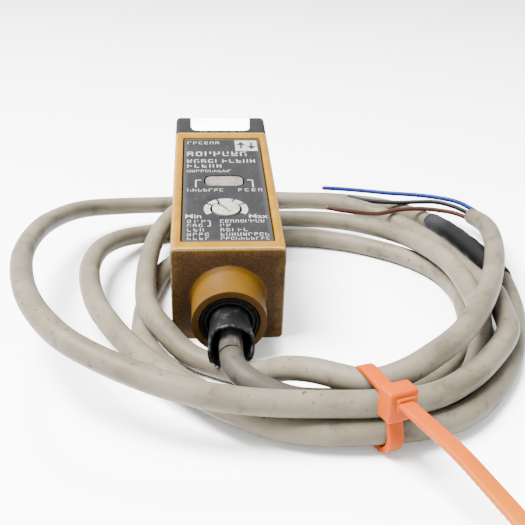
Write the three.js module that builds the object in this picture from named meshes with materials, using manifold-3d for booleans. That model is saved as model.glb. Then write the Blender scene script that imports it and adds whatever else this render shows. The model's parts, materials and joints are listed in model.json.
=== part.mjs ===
// Pre-wired photoelectric sensor, laid on its cable bundle, as an assembly of separate pieces.
// Millimetres, +Z up. The sensor is drawn in its own frame: X across, Y from the cable end to the
// lens end, Z from the underside to the label, with the cable end at y = 0. It is then pitched up
// about its lower cable-end edge, which touches the floor, and its box centre is moved over the origin.
import * as THREE from 'three';
import { mergeVertices } from 'three/addons/utils/BufferGeometryUtils.js';
import Module from 'manifold-3d';

const wasm = await Module();
wasm.setup();

// ---------------------------------------------------------------- driving dimensions
const GAP = 0.3; // clearance between neighbouring solids
const PITCH = 9.5 * Math.PI / 180; // lens end lifted by the cable under it

const BODY_W = 20; // overall width
const BODY_H = 19.2; // overall height
const HOUSING_L = 49; // painted housing, cable end to head joint
const HEAD_L = 8.4; // black lens head
const EDGE_R = 1.0; // rounded long edges
const WALL = 1.8; // housing side, floor and end walls
const TOP_T = 2.7; // housing top wall, which holds the label plate
const SIDES = 40; // facets of a full round

const BOSS_R = 6.45; // cable boss
const BOSS_L = 7.5;
const BOSS_Z = 8.9; // height of the cable axis over the underside
const BOSS_FILLET = 0.7;
const GLAND_R = 5.0;
const GLAND_RECESS = 0.2;
const BOSS_FLOOR = 0.8; // metal left between gland and end wall
const CABLE_R = 2.0;
const BOOT_R = 3.6; // strain relief boot
const BOOT_BORE_R = 2.3;
const BOOT_TIP = 8.5; // boot beyond the boss
const BOOT_SLOT = 5.6; // length of the open slot under the tip
const BOOT_SLOT_W = 7.4;

const PLATE_W = 16.0; // label plate
const PLATE_L = 43.4;
const PLATE_Y = 2.6; // start of the plate from the cable end
const PLATE_R = 0.5;
const PLATE_SINK = 0.2; // plate face below the frame
const PLATE_T = 1.05;
const SEAL_T = 0.35; // foam seal under the plate
const LEDGE_W = 1.2; // ledge that carries the seal

const WINDOW_W = 7.9; // indicator opening in the plate
const WINDOW_L = 4.6;
const WINDOW_Y = 26.0;
const WINDOW_R = 1.6;
const LED_R = 1.25;
const LED_PITCH = 3.8;
const LED_TOP = 16.2;
const LED_BODY = 3.4;

const KNOB_Y = 14.35; // sensitivity adjuster
const KNOB_R = 2.55;
const KNOB_T = 1.95;
const KNOB_PROUD = 0.05; // over the housing top
const KNOB_SLOT_W = 0.7;
const KNOB_SLOT_D = 0.8;
const KNOB_SHAFT_R = 1.2;
const KNOB_REST = 35 * Math.PI / 180; // pointer turned from the lens direction towards MIN
const COLLAR_WALL = 0.9;
const COLLAR_L = 3.2; // collar under the plate round the shaft
const ORING_R = 0.35;

const BOARD_T = 1.0; // main board
const BOARD_Z = 6.8;
const BOARD_Y0 = 8.5;
const BOARD_Y1 = 43.6;
const TRIM_S = 6.4; // trimmer body
const TRIM_T = 3.2;

const PAD_R = 3.0; // tapped mounting pads inside the floor
const PAD_H = 5.5;
const TAP_R = 1.25; // M3 core hole
const TAP_DEPTH = 4.5;
const PAD_YS = [11, 38];

const SPIGOT_IN = 0.6; // head spigot clearance in the housing
const SPIGOT_L = 4.4;
const SPIGOT_WALL = 1.1;
const HEAD_SEAL_W = 1.0;
const HEAD_SEAL_Y = HOUSING_L - 1.5;
const HEAD_BACK = 0.8; // back wall of the head
const HEAD_WALL_X = 3.6;
const HEAD_WALL_Z = 2.9;
const COVER_W = 12.8; // light window
const COVER_T = 1.25;
const COVER_R = 1.6;
const COVER_SINK = 0.1;
const LENS_R = 2.6;
const LENS_PITCH = 6.4;
const LENS_Z = 9.9; // middle of the two lens axes
const LENS_EDGE = 0.8;
const LENS_DOME = 0.9;
const SCREW_R = 0.9; // head screws
const SCREW_HEAD_R = 1.6;
const SCREW_X = 4.6;
const SCREW_Y = HOUSING_L - 3.3;

const CABLE_SIDES = 8;
const CABLE_STEP = 10;
const WIRE_R = 0.55;
const TIE_W = 2.5; // cable tie
const TIE_T = 1.0;
const TIE_X = 20;
const TIE_TURN = 20 * Math.PI / 180;
const TIE_HEAD = 4.8;
const SLEEVE_R = 2.6; // heat-shrink sleeve
const SLEEVE_BORE = 2.3;

// Where the loose cable lies, chosen by hand: x, y, z from the middle of the sensor's lower
// cable-end edge, on the floor. Four laps round the ring and the free end.
const CABLE_ROUTE = [
  // first lap
  [0, -17.35, 6.12], [0.1, -18.6, 5.9], [0.7, -20.8, 5.5], [2.5, -23.2, 5], [5.4, -25, 4.1],
  [9.5, -26.2, 3.2], [14.5, -26.9, 3.2], [20, -27.2, 3.4], [27, -24.4, 2.8], [33.4, -18.4, 2],
  [38.9, -11.2, 2], [43.6, -3.2, 2], [46.2, 7, 2], [46.9, 15.5, 2], [45.8, 23.5, 2], [42, 31, 2],
  [36, 37.2, 2], [28, 42.4, 2], [17, 45.2, 2], [3.5, 42.8, 2], [-6, 36.2, 2], [-12.2, 27.2, 2],
  [-14.5, 17, 2], [-15.5, 6, 2], [-14.6, -5, 2], [-10, -15, 2], [-2, -24.2, 2], [8, -29.8, 2.4],
  [20, -31.3, 3.4],
  // second lap
  [29.5, -28.6, 2.7], [37.5, -21.6, 2.4], [42.6, -12.6, 3.7], [45.2, -3.5, 6.1], [46.2, 6, 6.3],
  [46.4, 15, 6.3], [45, 24, 6.3], [41.4, 33.4, 6.1], [36.2, 42.2, 5.2], [29.5, 49.8, 4.2],
  [21, 55.4, 3], [8.5, 58.6, 2], [-2.5, 56.6, 2], [-10.8, 51.6, 2], [-17.4, 46, 3],
  [-22.2, 39.2, 4.6], [-25.6, 30.5, 5.8], [-26.4, 16.5, 7], [-23.9, 2.7, 6.8], [-20.1, -6.6, 6.3],
  [-16, -14, 5.9], [-10.7, -20.8, 5.3], [-2.5, -28.6, 4.2], [7.5, -33.9, 3.1], [20, -35.4, 3.4],
  // third lap, with the sleeve
  [32.6, -32.1, 2.8], [41.6, -23.2, 2], [49, -11.4, 2], [53.2, -1, 2], [55.9, 9, 2.4],
  [57.2, 19, 2.85], [56.9, 28, 2.85], [55.6, 38, 2.85], [53.4, 48, 2.8], [49.8, 57.5, 2.5],
  [44, 65.4, 2.3], [36, 70.6, 2], [27, 72.8, 2], [18, 73, 2], [5, 71.4, 2.4], [-12.5, 61.6, 4.8],
  [-23, 57.2, 6], [-31.5, 50, 7.8], [-36.8, 35.3, 10.2], [-37.8, 15.4, 12.6], [-35.8, 0.1, 13.6],
  [-31.6, -13.2, 13.6], [-25.5, -22.8, 12.7], [-18.7, -28.1, 11.5], [-10.7, -31.9, 10],
  [-2.9, -33.8, 8.7], [4.7, -34.4, 7.9], [12.3, -34.4, 7.5], [20, -34.4, 7.4],
  // fourth lap
  [28.5, -32.3, 6.9], [35.6, -27, 6.5], [42, -19.6, 6], [47.7, -11.2, 6.3], [50, -2, 5.7],
  [51.6, 7, 5.2], [51.9, 17, 3.4], [51.6, 26.5, 2.2], [50.4, 35.5, 2], [48, 45, 2],
  [44.4, 53.2, 2.2], [38.4, 59.6, 3.2], [31, 63, 4.2], [22.5, 64.6, 4.6], [14, 65.2, 4.8],
  [4, 64.6, 5.2], [-3.5, 60.6, 6], [-8.8, 54.4, 6.4], [-12.2, 46.6, 6.2], [-14.4, 35.5, 6.1],
  [-15.4, 22, 6.1], [-15.2, 9, 6.1], [-14.2, 0.5, 6.1], [-11.7, -5.6, 5.6], [-6.9, -10.9, 2.9],
  [-0.5, -14.7, 2], [4, -17.7, 2.9], [8.2, -21.6, 6], [12.2, -25.4, 7.8], [16, -28.2, 8.2],
  [20.1, -29.8, 8.2],
  // free end
  [25.4, -29, 9.3], [30.4, -26.4, 10.7], [35.6, -21.2, 11], [40.6, -13.8, 10.8],
  [45.6, -4.6, 10.4], [50.4, 6.2, 9.5], [55.6, 20, 8.3], [59.2, 33, 7.4], [60.9, 43, 6.1],
  [60.8, 50.8, 5],
];

// Where the three loose conductors lie, from the cable's free end, in the same frame.
const BLUE_ROUTE = [
  [61.3, 51.2, 6.4], [58.6, 56, 6.9], [54.4, 60, 6.8], [49.4, 63.8, 6.3], [44, 67, 5.7],
  [38.6, 69.8, 5.4], [33, 71.8, 5.3], [27.5, 73, 5.3],
];
const BLACK_ROUTE = [
  [60, 51.5, 5.6], [57.4, 55.4, 6], [54, 58.4, 6.1], [50, 60.2, 5.6], [45.4, 61.8, 4.9],
  [41, 63.2, 4.6], [36.5, 64.6, 4.7], [33, 66.2, 5],
];
const BROWN_ROUTE = [
  [60.4, 51.3, 4.2], [57.4, 53.4, 4.9], [53.8, 54.8, 5.2], [49, 55.6, 5.4], [43.4, 55, 5.3],
  [38, 53.4, 4.9], [33, 52.6, 5.6], [28.6, 52.4, 6.3], [25.8, 53.2, 6.7],
];
const SLEEVE_FROM = 0.478; // heat-shrink sleeve, as shares of the cable's length
const SLEEVE_TO = 0.508;
const TAIL_TURN = 22.5 * Math.PI / 180; // tail of the tie, turned from -Y towards +X

// Cable tie: the strands it binds where they cross x = TIE_X, as [y, z, room for the strand].
const BUNDLE = [[-26.7, 4.15, 3.15], [-31.3, 3.7, 2.6], [-35.4, 3.7, 2.6], [-29.5, 8.0, 3.6], [-34.4, 7.4, 2.6]];
const TAIL_PROFILE = [[0, 0], [12, -0.4], [24, -2.6], [34, -5.2], [42, -7.4]];

// ---------------------------------------------------------------- shape helpers
function solidOf(geometry) {
  const bare = geometry.clone();
  bare.deleteAttribute('normal');
  bare.deleteAttribute('uv');
  const merged = mergeVertices(bare, 1e-4);
  return new wasm.Manifold(new wasm.Mesh({
    numProp: 3,
    vertProperties: Float32Array.from(merged.attributes.position.array),
    triVerts: Uint32Array.from(merged.index.array),
  }));
}

function geometryOf(solid) {
  const mesh = solid.getMesh();
  const geometry = new THREE.BufferGeometry();
  geometry.setAttribute('position', new THREE.BufferAttribute(mesh.vertProperties, mesh.numProp));
  geometry.setIndex(new THREE.BufferAttribute(mesh.triVerts, 1));
  return geometry;
}

function cut(body, ...tools) {
  let solid = solidOf(body);
  for (const tool of tools) solid = solid.subtract(solidOf(tool));
  return geometryOf(solid);
}

function join(...bodies) {
  let solid = solidOf(bodies[0]);
  for (const body of bodies.slice(1)) solid = solid.add(solidOf(body));
  return geometryOf(solid);
}

// A box from its two corners.
function box(x0, x1, y0, y1, z0, z1) {
  const geometry = new THREE.BoxGeometry(x1 - x0, y1 - y0, z1 - z0);
  return geometry.translate((x0 + x1) / 2, (y0 + y1) / 2, (z0 + z1) / 2);
}

// A rectangle with round corners, centred on (cx, cy).
function roundRect(width, length, radius, cx = 0, cy = 0) {
  const shape = new THREE.Shape();
  const hx = width / 2 - radius;
  const hy = length / 2 - radius;
  shape.absarc(cx + hx, cy - hy, radius, -Math.PI / 2, 0);
  shape.absarc(cx + hx, cy + hy, radius, 0, Math.PI / 2);
  shape.absarc(cx - hx, cy + hy, radius, Math.PI / 2, Math.PI);
  shape.absarc(cx - hx, cy - hy, radius, Math.PI, 1.5 * Math.PI);
  return shape;
}

// A flat outline in X and Y given a thickness from z0 to z1.
function slab(shape, z0, z1) {
  const geometry = new THREE.ExtrudeGeometry(shape, { depth: z1 - z0, bevelEnabled: false, curveSegments: 6 });
  return geometry.translate(0, 0, z0);
}

// A bar along Y with a rectangular section and round long edges.
function bar(width, z0, z1, radius, y0, y1) {
  const shape = roundRect(width, z1 - z0, radius, 0, (z0 + z1) / 2);
  const geometry = new THREE.ExtrudeGeometry(shape, { depth: y1 - y0, bevelEnabled: false, curveSegments: 5 });
  return geometry.rotateX(Math.PI / 2).translate(0, y1, 0);
}

function rodY(radius, y0, y1, x, z, sides = SIDES) {
  const geometry = new THREE.CylinderGeometry(radius, radius, y1 - y0, sides);
  return geometry.translate(x, (y0 + y1) / 2, z);
}

function rodZ(radius, z0, z1, x, y, sides = SIDES) {
  const geometry = new THREE.CylinderGeometry(radius, radius, z1 - z0, sides);
  return geometry.rotateX(Math.PI / 2).translate(x, y, (z0 + z1) / 2);
}

// A profile of [radius, height] pairs turned about an axis along Y.
function turnY(profile, x, z, sides = SIDES) {
  const points = profile.map(([radius, height]) => new THREE.Vector2(radius, height));
  return new THREE.LatheGeometry(points, sides).translate(x, 0, z);
}

// The same about an axis along Z.
function turnZ(profile, x, y, sides = SIDES) {
  const points = profile.map(([radius, height]) => new THREE.Vector2(radius, -height));
  return new THREE.LatheGeometry(points.reverse(), sides).rotateX(-Math.PI / 2).translate(x, y, 0);
}

// A ring profile: up the outside, down the inside, closed.
function ringProfile(inner, outer, from, to) {
  return [[inner, from], [outer, from], [outer, to], [inner, to], [inner, from]];
}

function polygon(radius, sides, path) {
  const target = path ?? new THREE.Shape();
  for (let i = 0; i < sides; i += 1) {
    const angle = 2 * Math.PI * (i + 0.5) / sides;
    const [x, y] = [radius * Math.cos(angle), radius * Math.sin(angle)];
    if (i === 0) target.moveTo(x, y);
    else target.lineTo(x, y);
  }
  target.closePath();
  return target;
}

function curveOf(points) {
  const curve = new THREE.CatmullRomCurve3(points.map((p) => new THREE.Vector3(...p)), false, 'centripetal');
  curve.arcLengthDivisions = points.length * 24;
  return curve;
}

function tube(curve, radius, sides, step, bore = 0) {
  const shape = polygon(radius, sides);
  if (bore > 0) shape.holes.push(polygon(bore, sides, new THREE.Path()));
  const steps = Math.max(3, Math.ceil(curve.getLength() / step - 0.05));
  return new THREE.ExtrudeGeometry(shape, { steps, extrudePath: curve, bevelEnabled: false });
}

function part(parent, name, geometry, material) {
  const mesh = new THREE.Mesh(geometry, material);
  mesh.name = name;
  parent.add(mesh);
  return mesh;
}

// ---------------------------------------------------------------- materials
function finish(color, roughness, metalness) {
  return new THREE.MeshStandardMaterial({ color, roughness, metalness });
}

const ochrePaint = () => finish(0xc98a2c, 0.55, 0.1);
const blackPlastic = () => finish(0x2b2b2d, 0.6, 0.0);
const charcoalPlate = () => finish(0x4a4a4c, 0.5, 0.0);
const blackRubber = () => finish(0x1a1a1a, 0.8, 0.0);
const milkyAcrylic = () => finish(0xf0f0ee, 0.1, 0.0);
const smokeAcrylic = () => finish(0x8f8a84, 0.3, 0.0);
const creamNylon = () => finish(0xe6e0cc, 0.5, 0.0);
const clearLens = () => finish(0xdde4e8, 0.05, 0.0);
const greenLaminate = () => finish(0x2f6b3a, 0.6, 0.0);
const blackEpoxy = () => finish(0x232325, 0.5, 0.0);
const tinPlate = () => finish(0xb8bcc0, 0.35, 0.9);
const redLamp = () => finish(0xb03028, 0.2, 0.0);
const greenLamp = () => finish(0x3c9a4a, 0.2, 0.0);
const zincScrew = () => finish(0xa8a8a4, 0.4, 0.9);
const greyJacket = () => finish(0xb9b2a4, 0.6, 0.0);
const blueJacket = () => finish(0x2b4f9e, 0.5, 0.0);
const brownJacket = () => finish(0x7a4a30, 0.5, 0.0);
const blackJacket = () => finish(0x222224, 0.5, 0.0);
const orangeNylon = () => finish(0xf47a20, 0.35, 0.0);

// ---------------------------------------------------------------- housing
const plateTop = BODY_H - PLATE_SINK;
const plateBottom = plateTop - PLATE_T;
const plateMidY = PLATE_Y + PLATE_L / 2;
const ledgeTop = plateBottom - SEAL_T - 2 * GAP * 0.5;
const cavityTop = BODY_H - TOP_T;
const cavityX = BODY_W / 2 - WALL;
const glandBack = -BOSS_FLOOR - GAP;
const glandFront = -BOSS_L + GLAND_RECESS;
const cableBore = CABLE_R + 2 * GAP;

function housing() {
  const shell = bar(BODY_W, 0, BODY_H, EDGE_R, 0, HOUSING_L);
  const boss = turnY([
    [0, -BOSS_L], [BOSS_R, -BOSS_L], [BOSS_R, -BOSS_FILLET],
    [BOSS_R + BOSS_FILLET * 0.3, -BOSS_FILLET * 0.3], [BOSS_R + BOSS_FILLET, WALL / 2], [0, WALL / 2],
  ], 0, BOSS_Z);
  const cavity = box(-cavityX, cavityX, WALL, HOUSING_L + 1, WALL, cavityTop);
  const recess = slab(roundRect(PLATE_W + GAP * 2, PLATE_L + GAP * 2, PLATE_R, 0, plateMidY), ledgeTop, BODY_H + 1);
  const opening = box(
    -PLATE_W / 2 + LEDGE_W, PLATE_W / 2 - LEDGE_W,
    PLATE_Y + LEDGE_W, PLATE_Y + PLATE_L - LEDGE_W, cavityTop - 1, BODY_H,
  );
  const glandSeat = rodY(GLAND_R + GAP, -BOSS_L - 1, -BOSS_FLOOR, 0, BOSS_Z);
  const cableHole = rodY(cableBore, -BOSS_L, WALL + 1, 0, BOSS_Z, 24);
  let solid = solidOf(shell).add(solidOf(boss));
  for (const tool of [cavity, recess, opening, glandSeat, cableHole]) solid = solid.subtract(solidOf(tool));
  for (const y of PAD_YS) {
    solid = solid.add(solidOf(rodZ(PAD_R, WALL / 2, PAD_H, 0, y, 24)));
    solid = solid.subtract(solidOf(rodZ(TAP_R, -1, TAP_DEPTH, 0, y, 16)));
  }
  for (const side of [-1, 1]) {
    solid = solid.subtract(solidOf(rodZ(SCREW_R + GAP, -1, WALL + 1, side * SCREW_X, SCREW_Y, 16)));
    solid = solid.subtract(solidOf(rodZ(SCREW_HEAD_R + GAP, -1, WALL / 2, side * SCREW_X, SCREW_Y, 16)));
  }
  return geometryOf(solid);
}

// ---------------------------------------------------------------- label plate and controls
const knobTop = BODY_H + KNOB_PROUD;
const knobBottom = knobTop - KNOB_T;
const collarBore = KNOB_SHAFT_R + GAP;
const counterbore = KNOB_R + GAP;
const collarBottom = plateBottom - COLLAR_L - 1.2;
const seatZ = knobBottom - 2 * ORING_R - GAP * 1.4;
const trimZ = BOARD_Z + BOARD_T + GAP;
const trimTop = trimZ + TRIM_T;

function labelPlate() {
  const plate = slab(roundRect(PLATE_W, PLATE_L, PLATE_R, 0, plateMidY), plateBottom, plateTop);
  const collar = rodZ(counterbore + COLLAR_WALL, collarBottom, plateBottom + 0.2, 0, KNOB_Y);
  const windowHole = slab(roundRect(WINDOW_W, WINDOW_L, WINDOW_R, 0, WINDOW_Y), plateBottom - 1, BODY_H);
  const shaftHole = rodZ(collarBore, collarBottom - 1, BODY_H, 0, KNOB_Y, 24);
  const knobHole = rodZ(counterbore, seatZ, BODY_H + 1, 0, KNOB_Y);
  return cut(join(plate, collar), windowHole, shaftHole, knobHole);
}

function plateSeal() {
  const outer = slab(roundRect(PLATE_W, PLATE_L, PLATE_R, 0, plateMidY), ledgeTop + GAP / 2, plateBottom - GAP / 2);
  const inner = box(
    -PLATE_W / 2 + LEDGE_W, PLATE_W / 2 - LEDGE_W,
    PLATE_Y + LEDGE_W, PLATE_Y + PLATE_L - LEDGE_W, ledgeTop - 1, BODY_H,
  );
  return cut(outer, inner);
}

function indicatorWindow() {
  const shape = roundRect(WINDOW_W - 2 * GAP, WINDOW_L - 2 * GAP, WINDOW_R - GAP, 0, WINDOW_Y);
  return slab(shape, plateBottom, plateTop - GLAND_RECESS / 4);
}

function indicatorLamp(x) {
  const base = LED_TOP - LED_BODY;
  return turnZ([
    [0, base], [LED_R, base], [LED_R, LED_TOP - LED_R], [LED_R * 0.85, LED_TOP - LED_R * 0.45],
    [LED_R * 0.5, LED_TOP - LED_R * 0.12], [0, LED_TOP],
  ], x, WINDOW_Y, 20);
}

function lampSpacer() {
  const halfX = LED_PITCH / 2 + LED_R + 0.4;
  const halfY = LED_R + 0.6;
  return box(-halfX, halfX, WINDOW_Y - halfY, WINDOW_Y + halfY, trimZ, LED_TOP - LED_BODY - GAP);
}

function adjuster() {
  const head = rodZ(KNOB_R, knobBottom, knobTop, 0, 0);
  const shaft = rodZ(KNOB_SHAFT_R, trimTop - 1.2, knobBottom + 0.1, 0, 0, 20);
  const slot = box(-KNOB_SLOT_W / 2, KNOB_SLOT_W / 2, -KNOB_R * 0.62, KNOB_R * 2, knobTop - KNOB_SLOT_D, knobTop + 1);
  return cut(join(head, shaft), slot).rotateZ(KNOB_REST).translate(0, KNOB_Y, 0);
}

function adjusterSeal() {
  const middle = (collarBore + counterbore) / 2;
  const z = seatZ + GAP / 2 + ORING_R;
  const circle = Array.from({ length: 11 }, (_, i) => {
    const angle = 2 * Math.PI * i / 10;
    return [middle + ORING_R * Math.cos(angle), z + ORING_R * Math.sin(angle)];
  });
  circle[10] = circle[0];
  return turnZ(circle, 0, KNOB_Y, 28);
}

function trimmer() {
  const half = TRIM_S / 2;
  const body = box(-half, half, KNOB_Y - half, KNOB_Y + half, trimZ, trimTop);
  return cut(body, rodZ(KNOB_SHAFT_R + GAP, trimTop - 1.6, trimTop + 1, 0, KNOB_Y, 20));
}

// ---------------------------------------------------------------- electronics
function mainBoard() {
  return box(-cavityX + 2 * GAP, cavityX - 2 * GAP, BOARD_Y0, BOARD_Y1, BOARD_Z, BOARD_Z + BOARD_T);
}

function chip(x, y, width, length, height) {
  return box(x - width / 2, x + width / 2, y - length / 2, y + length / 2, trimZ, trimZ + height);
}

function shieldCan(x, y, width, length, height, wall) {
  const outer = chip(x, y, width, length, height);
  const inner = box(
    x - width / 2 + wall, x + width / 2 - wall, y - length / 2 + wall, y + length / 2 - wall,
    trimZ - 1, trimZ + height - wall,
  );
  return cut(outer, inner);
}

// ---------------------------------------------------------------- lens head
const spigotX = cavityX - SPIGOT_IN;
const spigotZ0 = WALL + SPIGOT_IN;
const spigotZ1 = cavityTop - SPIGOT_IN;
const headY0 = HOUSING_L + GAP;
const headY1 = headY0 - GAP + HEAD_L;
const headInX = BODY_W / 2 - HEAD_WALL_X;
const coverTop = BODY_H - COVER_SINK;
const coverFloor = coverTop - COVER_T - GAP;
const coverBack = headY0 + HEAD_BACK + GAP;
const lensZs = [LENS_Z + LENS_PITCH / 2, LENS_Z - LENS_PITCH / 2];
const coverFront = headY1 - COVER_SINK;

function lensHead() {
  const outer = bar(BODY_W, 0, BODY_H, EDGE_R, headY0, headY1);
  const spigot = box(-spigotX, spigotX, headY0 - SPIGOT_L - GAP, headY0 + 0.5, spigotZ0, spigotZ1);
  const hollow = box(
    -spigotX + SPIGOT_WALL, spigotX - SPIGOT_WALL, headY0 - SPIGOT_L - 1, headY0 + HEAD_BACK + 0.5,
    spigotZ0 + SPIGOT_WALL, spigotZ1 - SPIGOT_WALL,
  );
  const cavity = box(-headInX, headInX, headY0 + HEAD_BACK, headY1 + 1, HEAD_WALL_Z, coverFloor + 0.5);
  const topHalf = COVER_W / 2 + GAP;
  const notch = slab(
    roundRect(2 * topHalf, 2 * (headY1 - coverBack + GAP), COVER_R + GAP, 0, headY1), coverFloor, BODY_H + 1,
  );
  const front = box(-topHalf, topHalf, coverFront - COVER_T - GAP, headY1 + 1, HEAD_WALL_Z - 0.6, BODY_H - 0.5);
  const groove = cut(
    box(-20, 20, HEAD_SEAL_Y - GAP, HEAD_SEAL_Y + HEAD_SEAL_W + GAP, -10, 40),
    box(-spigotX + 0.8, spigotX - 0.8, 0, 80, spigotZ0 + 0.8, spigotZ1 - 0.8),
  );
  let solid = solidOf(join(outer, spigot));
  for (const tool of [hollow, cavity, notch, front, groove]) solid = solid.subtract(solidOf(tool));
  for (const side of [-1, 1]) {
    solid = solid.subtract(solidOf(rodZ(SCREW_R + GAP, 0, spigotZ0 + SPIGOT_WALL + 1, side * SCREW_X, SCREW_Y, 16)));
  }
  return geometryOf(solid);
}

function headSeal() {
  const out = GAP;
  const outer = box(
    -spigotX - out, spigotX + out, HEAD_SEAL_Y, HEAD_SEAL_Y + HEAD_SEAL_W, spigotZ0 - out, spigotZ1 + out,
  );
  const inner = box(
    -spigotX + 0.5, spigotX - 0.5, HEAD_SEAL_Y - 1, HEAD_SEAL_Y + HEAD_SEAL_W + 1,
    spigotZ0 + 0.5, spigotZ1 - 0.5,
  );
  return cut(outer, inner);
}

function headScrew(side) {
  return turnZ([
    [0, 0.15], [SCREW_HEAD_R, 0.15], [SCREW_HEAD_R, WALL / 2 - GAP], [SCREW_R, WALL / 2 - GAP],
    [SCREW_R, spigotZ0 + SPIGOT_WALL + 0.6], [0, spigotZ0 + SPIGOT_WALL + 0.6],
  ], side * SCREW_X, SCREW_Y, 16);
}

// Light window: a top plate and a front plate in one piece.
function lightWindow() {
  const width = COVER_W;
  const front = box(
    -width / 2, width / 2, coverFront - COVER_T, coverFront, HEAD_WALL_Z - 0.6 + GAP, coverTop - 0.2,
  );
  const top = slab(roundRect(width, 2 * (coverFront - coverBack), COVER_R, 0, coverFront), coverTop - COVER_T, coverTop);
  const back = box(-20, 20, coverFront, coverFront + 30, 0, 40);
  return cut(join(top, front), back);
}

const opticsBack = headY0 + HEAD_BACK + GAP;
const opticsFront = coverFront - COVER_T - GAP - LENS_DOME;

function opticsBlock() {
  const block = box(
    -headInX + GAP, headInX - GAP, opticsBack, opticsFront, HEAD_WALL_Z + GAP, coverFloor - GAP,
  );
  const tools = [];
  for (const z of lensZs) {
    tools.push(rodY(LENS_R - 0.5, opticsBack - 1, opticsFront, 0, z, 28));
    tools.push(rodY(LENS_R + GAP / 1.5, opticsFront - LENS_EDGE - GAP, opticsFront + 1, 0, z, 28));
  }
  return cut(block, ...tools);
}

function lens(z) {
  const flat = opticsFront - LENS_EDGE;
  const rows = [[0, flat], [LENS_R, flat], [LENS_R, opticsFront]];
  for (let i = 1; i <= 6; i += 1) {
    const angle = i * Math.PI / 12;
    rows.push([LENS_R * Math.cos(angle), opticsFront + (LENS_DOME - 0.1) * Math.sin(angle)]);
  }
  rows[rows.length - 1][0] = 0;
  return turnY(rows, 0, z, 28);
}

function diode(z, dome) {
  const base = opticsBack - 2.2;
  const tip = base + 3.6;
  return turnY([[0, base], [1.4, base], [1.4, tip - dome], [0.8, tip - dome * 0.2], [0, tip]], 0, z, 18);
}

function opticsBoard() {
  const halfX = spigotX - SPIGOT_WALL - GAP;
  const back = opticsBack - 2.2 - GAP - 0.8;
  return box(-halfX, halfX, back, back + 0.8, spigotZ0 + SPIGOT_WALL + GAP, spigotZ1 - SPIGOT_WALL - GAP);
}

// ---------------------------------------------------------------- cable entry
function glandBush() {
  const [inner, outer] = [BOOT_R + GAP, GLAND_R];
  return turnY([
    [inner, glandBack], [outer, glandBack], [outer, glandFront], [outer - 0.35, glandFront],
    [outer - 0.45, glandFront + 0.35], [inner + 0.4, glandFront + 0.35], [inner + 0.3, glandFront - 0.1],
    [inner, glandFront - 0.1], [inner, glandBack],
  ].map(([r, y]) => [r, y]).reverse(), 0, BOSS_Z);
}

// Rubber boot round the cable, open along the underside of its tip.
function cableBoot() {
  const tip = -BOSS_L - BOOT_TIP;
  const tubeBody = turnY([
    [BOOT_BORE_R, glandBack], [BOOT_R, glandBack], [BOOT_R, tip + 1], [BOOT_R - 0.1, tip],
    [BOOT_BORE_R, tip], [BOOT_BORE_R, glandBack],
  ].reverse(), 0, BOSS_Z, 32);
  const slot = box(-BOOT_SLOT_W / 2, BOOT_SLOT_W / 2, tip - 1, tip + BOOT_SLOT, BOSS_Z - 9, BOSS_Z - 0.5);
  return cut(tubeBody, slot);
}

const stubIn = WALL + 4.2;
const stubOut = -BOSS_L - BOOT_TIP + 0.2;

function cableStub() {
  return rodY(CABLE_R, stubOut, stubIn, 0, BOSS_Z, 16);
}

function cableClamp() {
  return turnY(ringProfile(BOOT_BORE_R, BOOT_BORE_R + 1.0, WALL + GAP, WALL + 2.6), 0, BOSS_Z, 24);
}

function innerLead(x) {
  const start = [x * 0.28, stubIn + GAP, BOSS_Z];
  const pad = [x, BOARD_Y0 + 1.6, trimZ + 0.2];
  const curve = curveOf([start, [x * 0.5, stubIn + 1.2, BOSS_Z + 0.5], [x * 0.95, BOARD_Y0 + 0.9, BOSS_Z + 0.5], pad]);
  return tube(curve, WIRE_R * 0.9, 6, 0.8);
}

// ---------------------------------------------------------------- loose cable and what is on it
const cableCurve = curveOf(CABLE_ROUTE);

function looseCable() {
  return tube(cableCurve, CABLE_R, CABLE_SIDES, CABLE_STEP);
}

// The sleeve follows the cable's own steps, so its bore keeps clear of the faceted jacket.
function spliceSleeve() {
  const steps = Math.ceil(cableCurve.getLength() / CABLE_STEP);
  const first = Math.round(steps * SLEEVE_FROM);
  const last = Math.round(steps * SLEEVE_TO);
  const path = new THREE.CurvePath();
  for (let i = first; i < last; i += 1) {
    path.add(new THREE.LineCurve3(cableCurve.getPointAt(i / steps), cableCurve.getPointAt((i + 1) / steps)));
  }
  return tube(path, SLEEVE_R, 12, CABLE_STEP, SLEEVE_BORE);
}

function conductor(points) {
  return tube(curveOf(points), WIRE_R, 6, 5);
}

// Outline round circles given as [x, y, radius]: the convex hull of points on them.
function outlineRound(circles, margin) {
  const points = [];
  for (const [x, y, room] of circles) {
    const radius = room + margin;
    for (let i = 0; i < 24; i += 1) {
      const angle = 2 * Math.PI * i / 24;
      points.push([x + radius * Math.cos(angle), y + radius * Math.sin(angle)]);
    }
  }
  points.sort((a, b) => a[0] - b[0] || a[1] - b[1]);
  const cross = (o, a, b) => (a[0] - o[0]) * (b[1] - o[1]) - (a[1] - o[1]) * (b[0] - o[0]);
  const chain = (list) => {
    const out = [];
    for (const p of list) {
      while (out.length > 1 && cross(out[out.length - 2], out[out.length - 1], p) <= 1e-9) out.pop();
      out.push(p);
    }
    return out.slice(0, -1);
  };
  return [...chain(points), ...chain(points.slice().reverse())];
}

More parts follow.
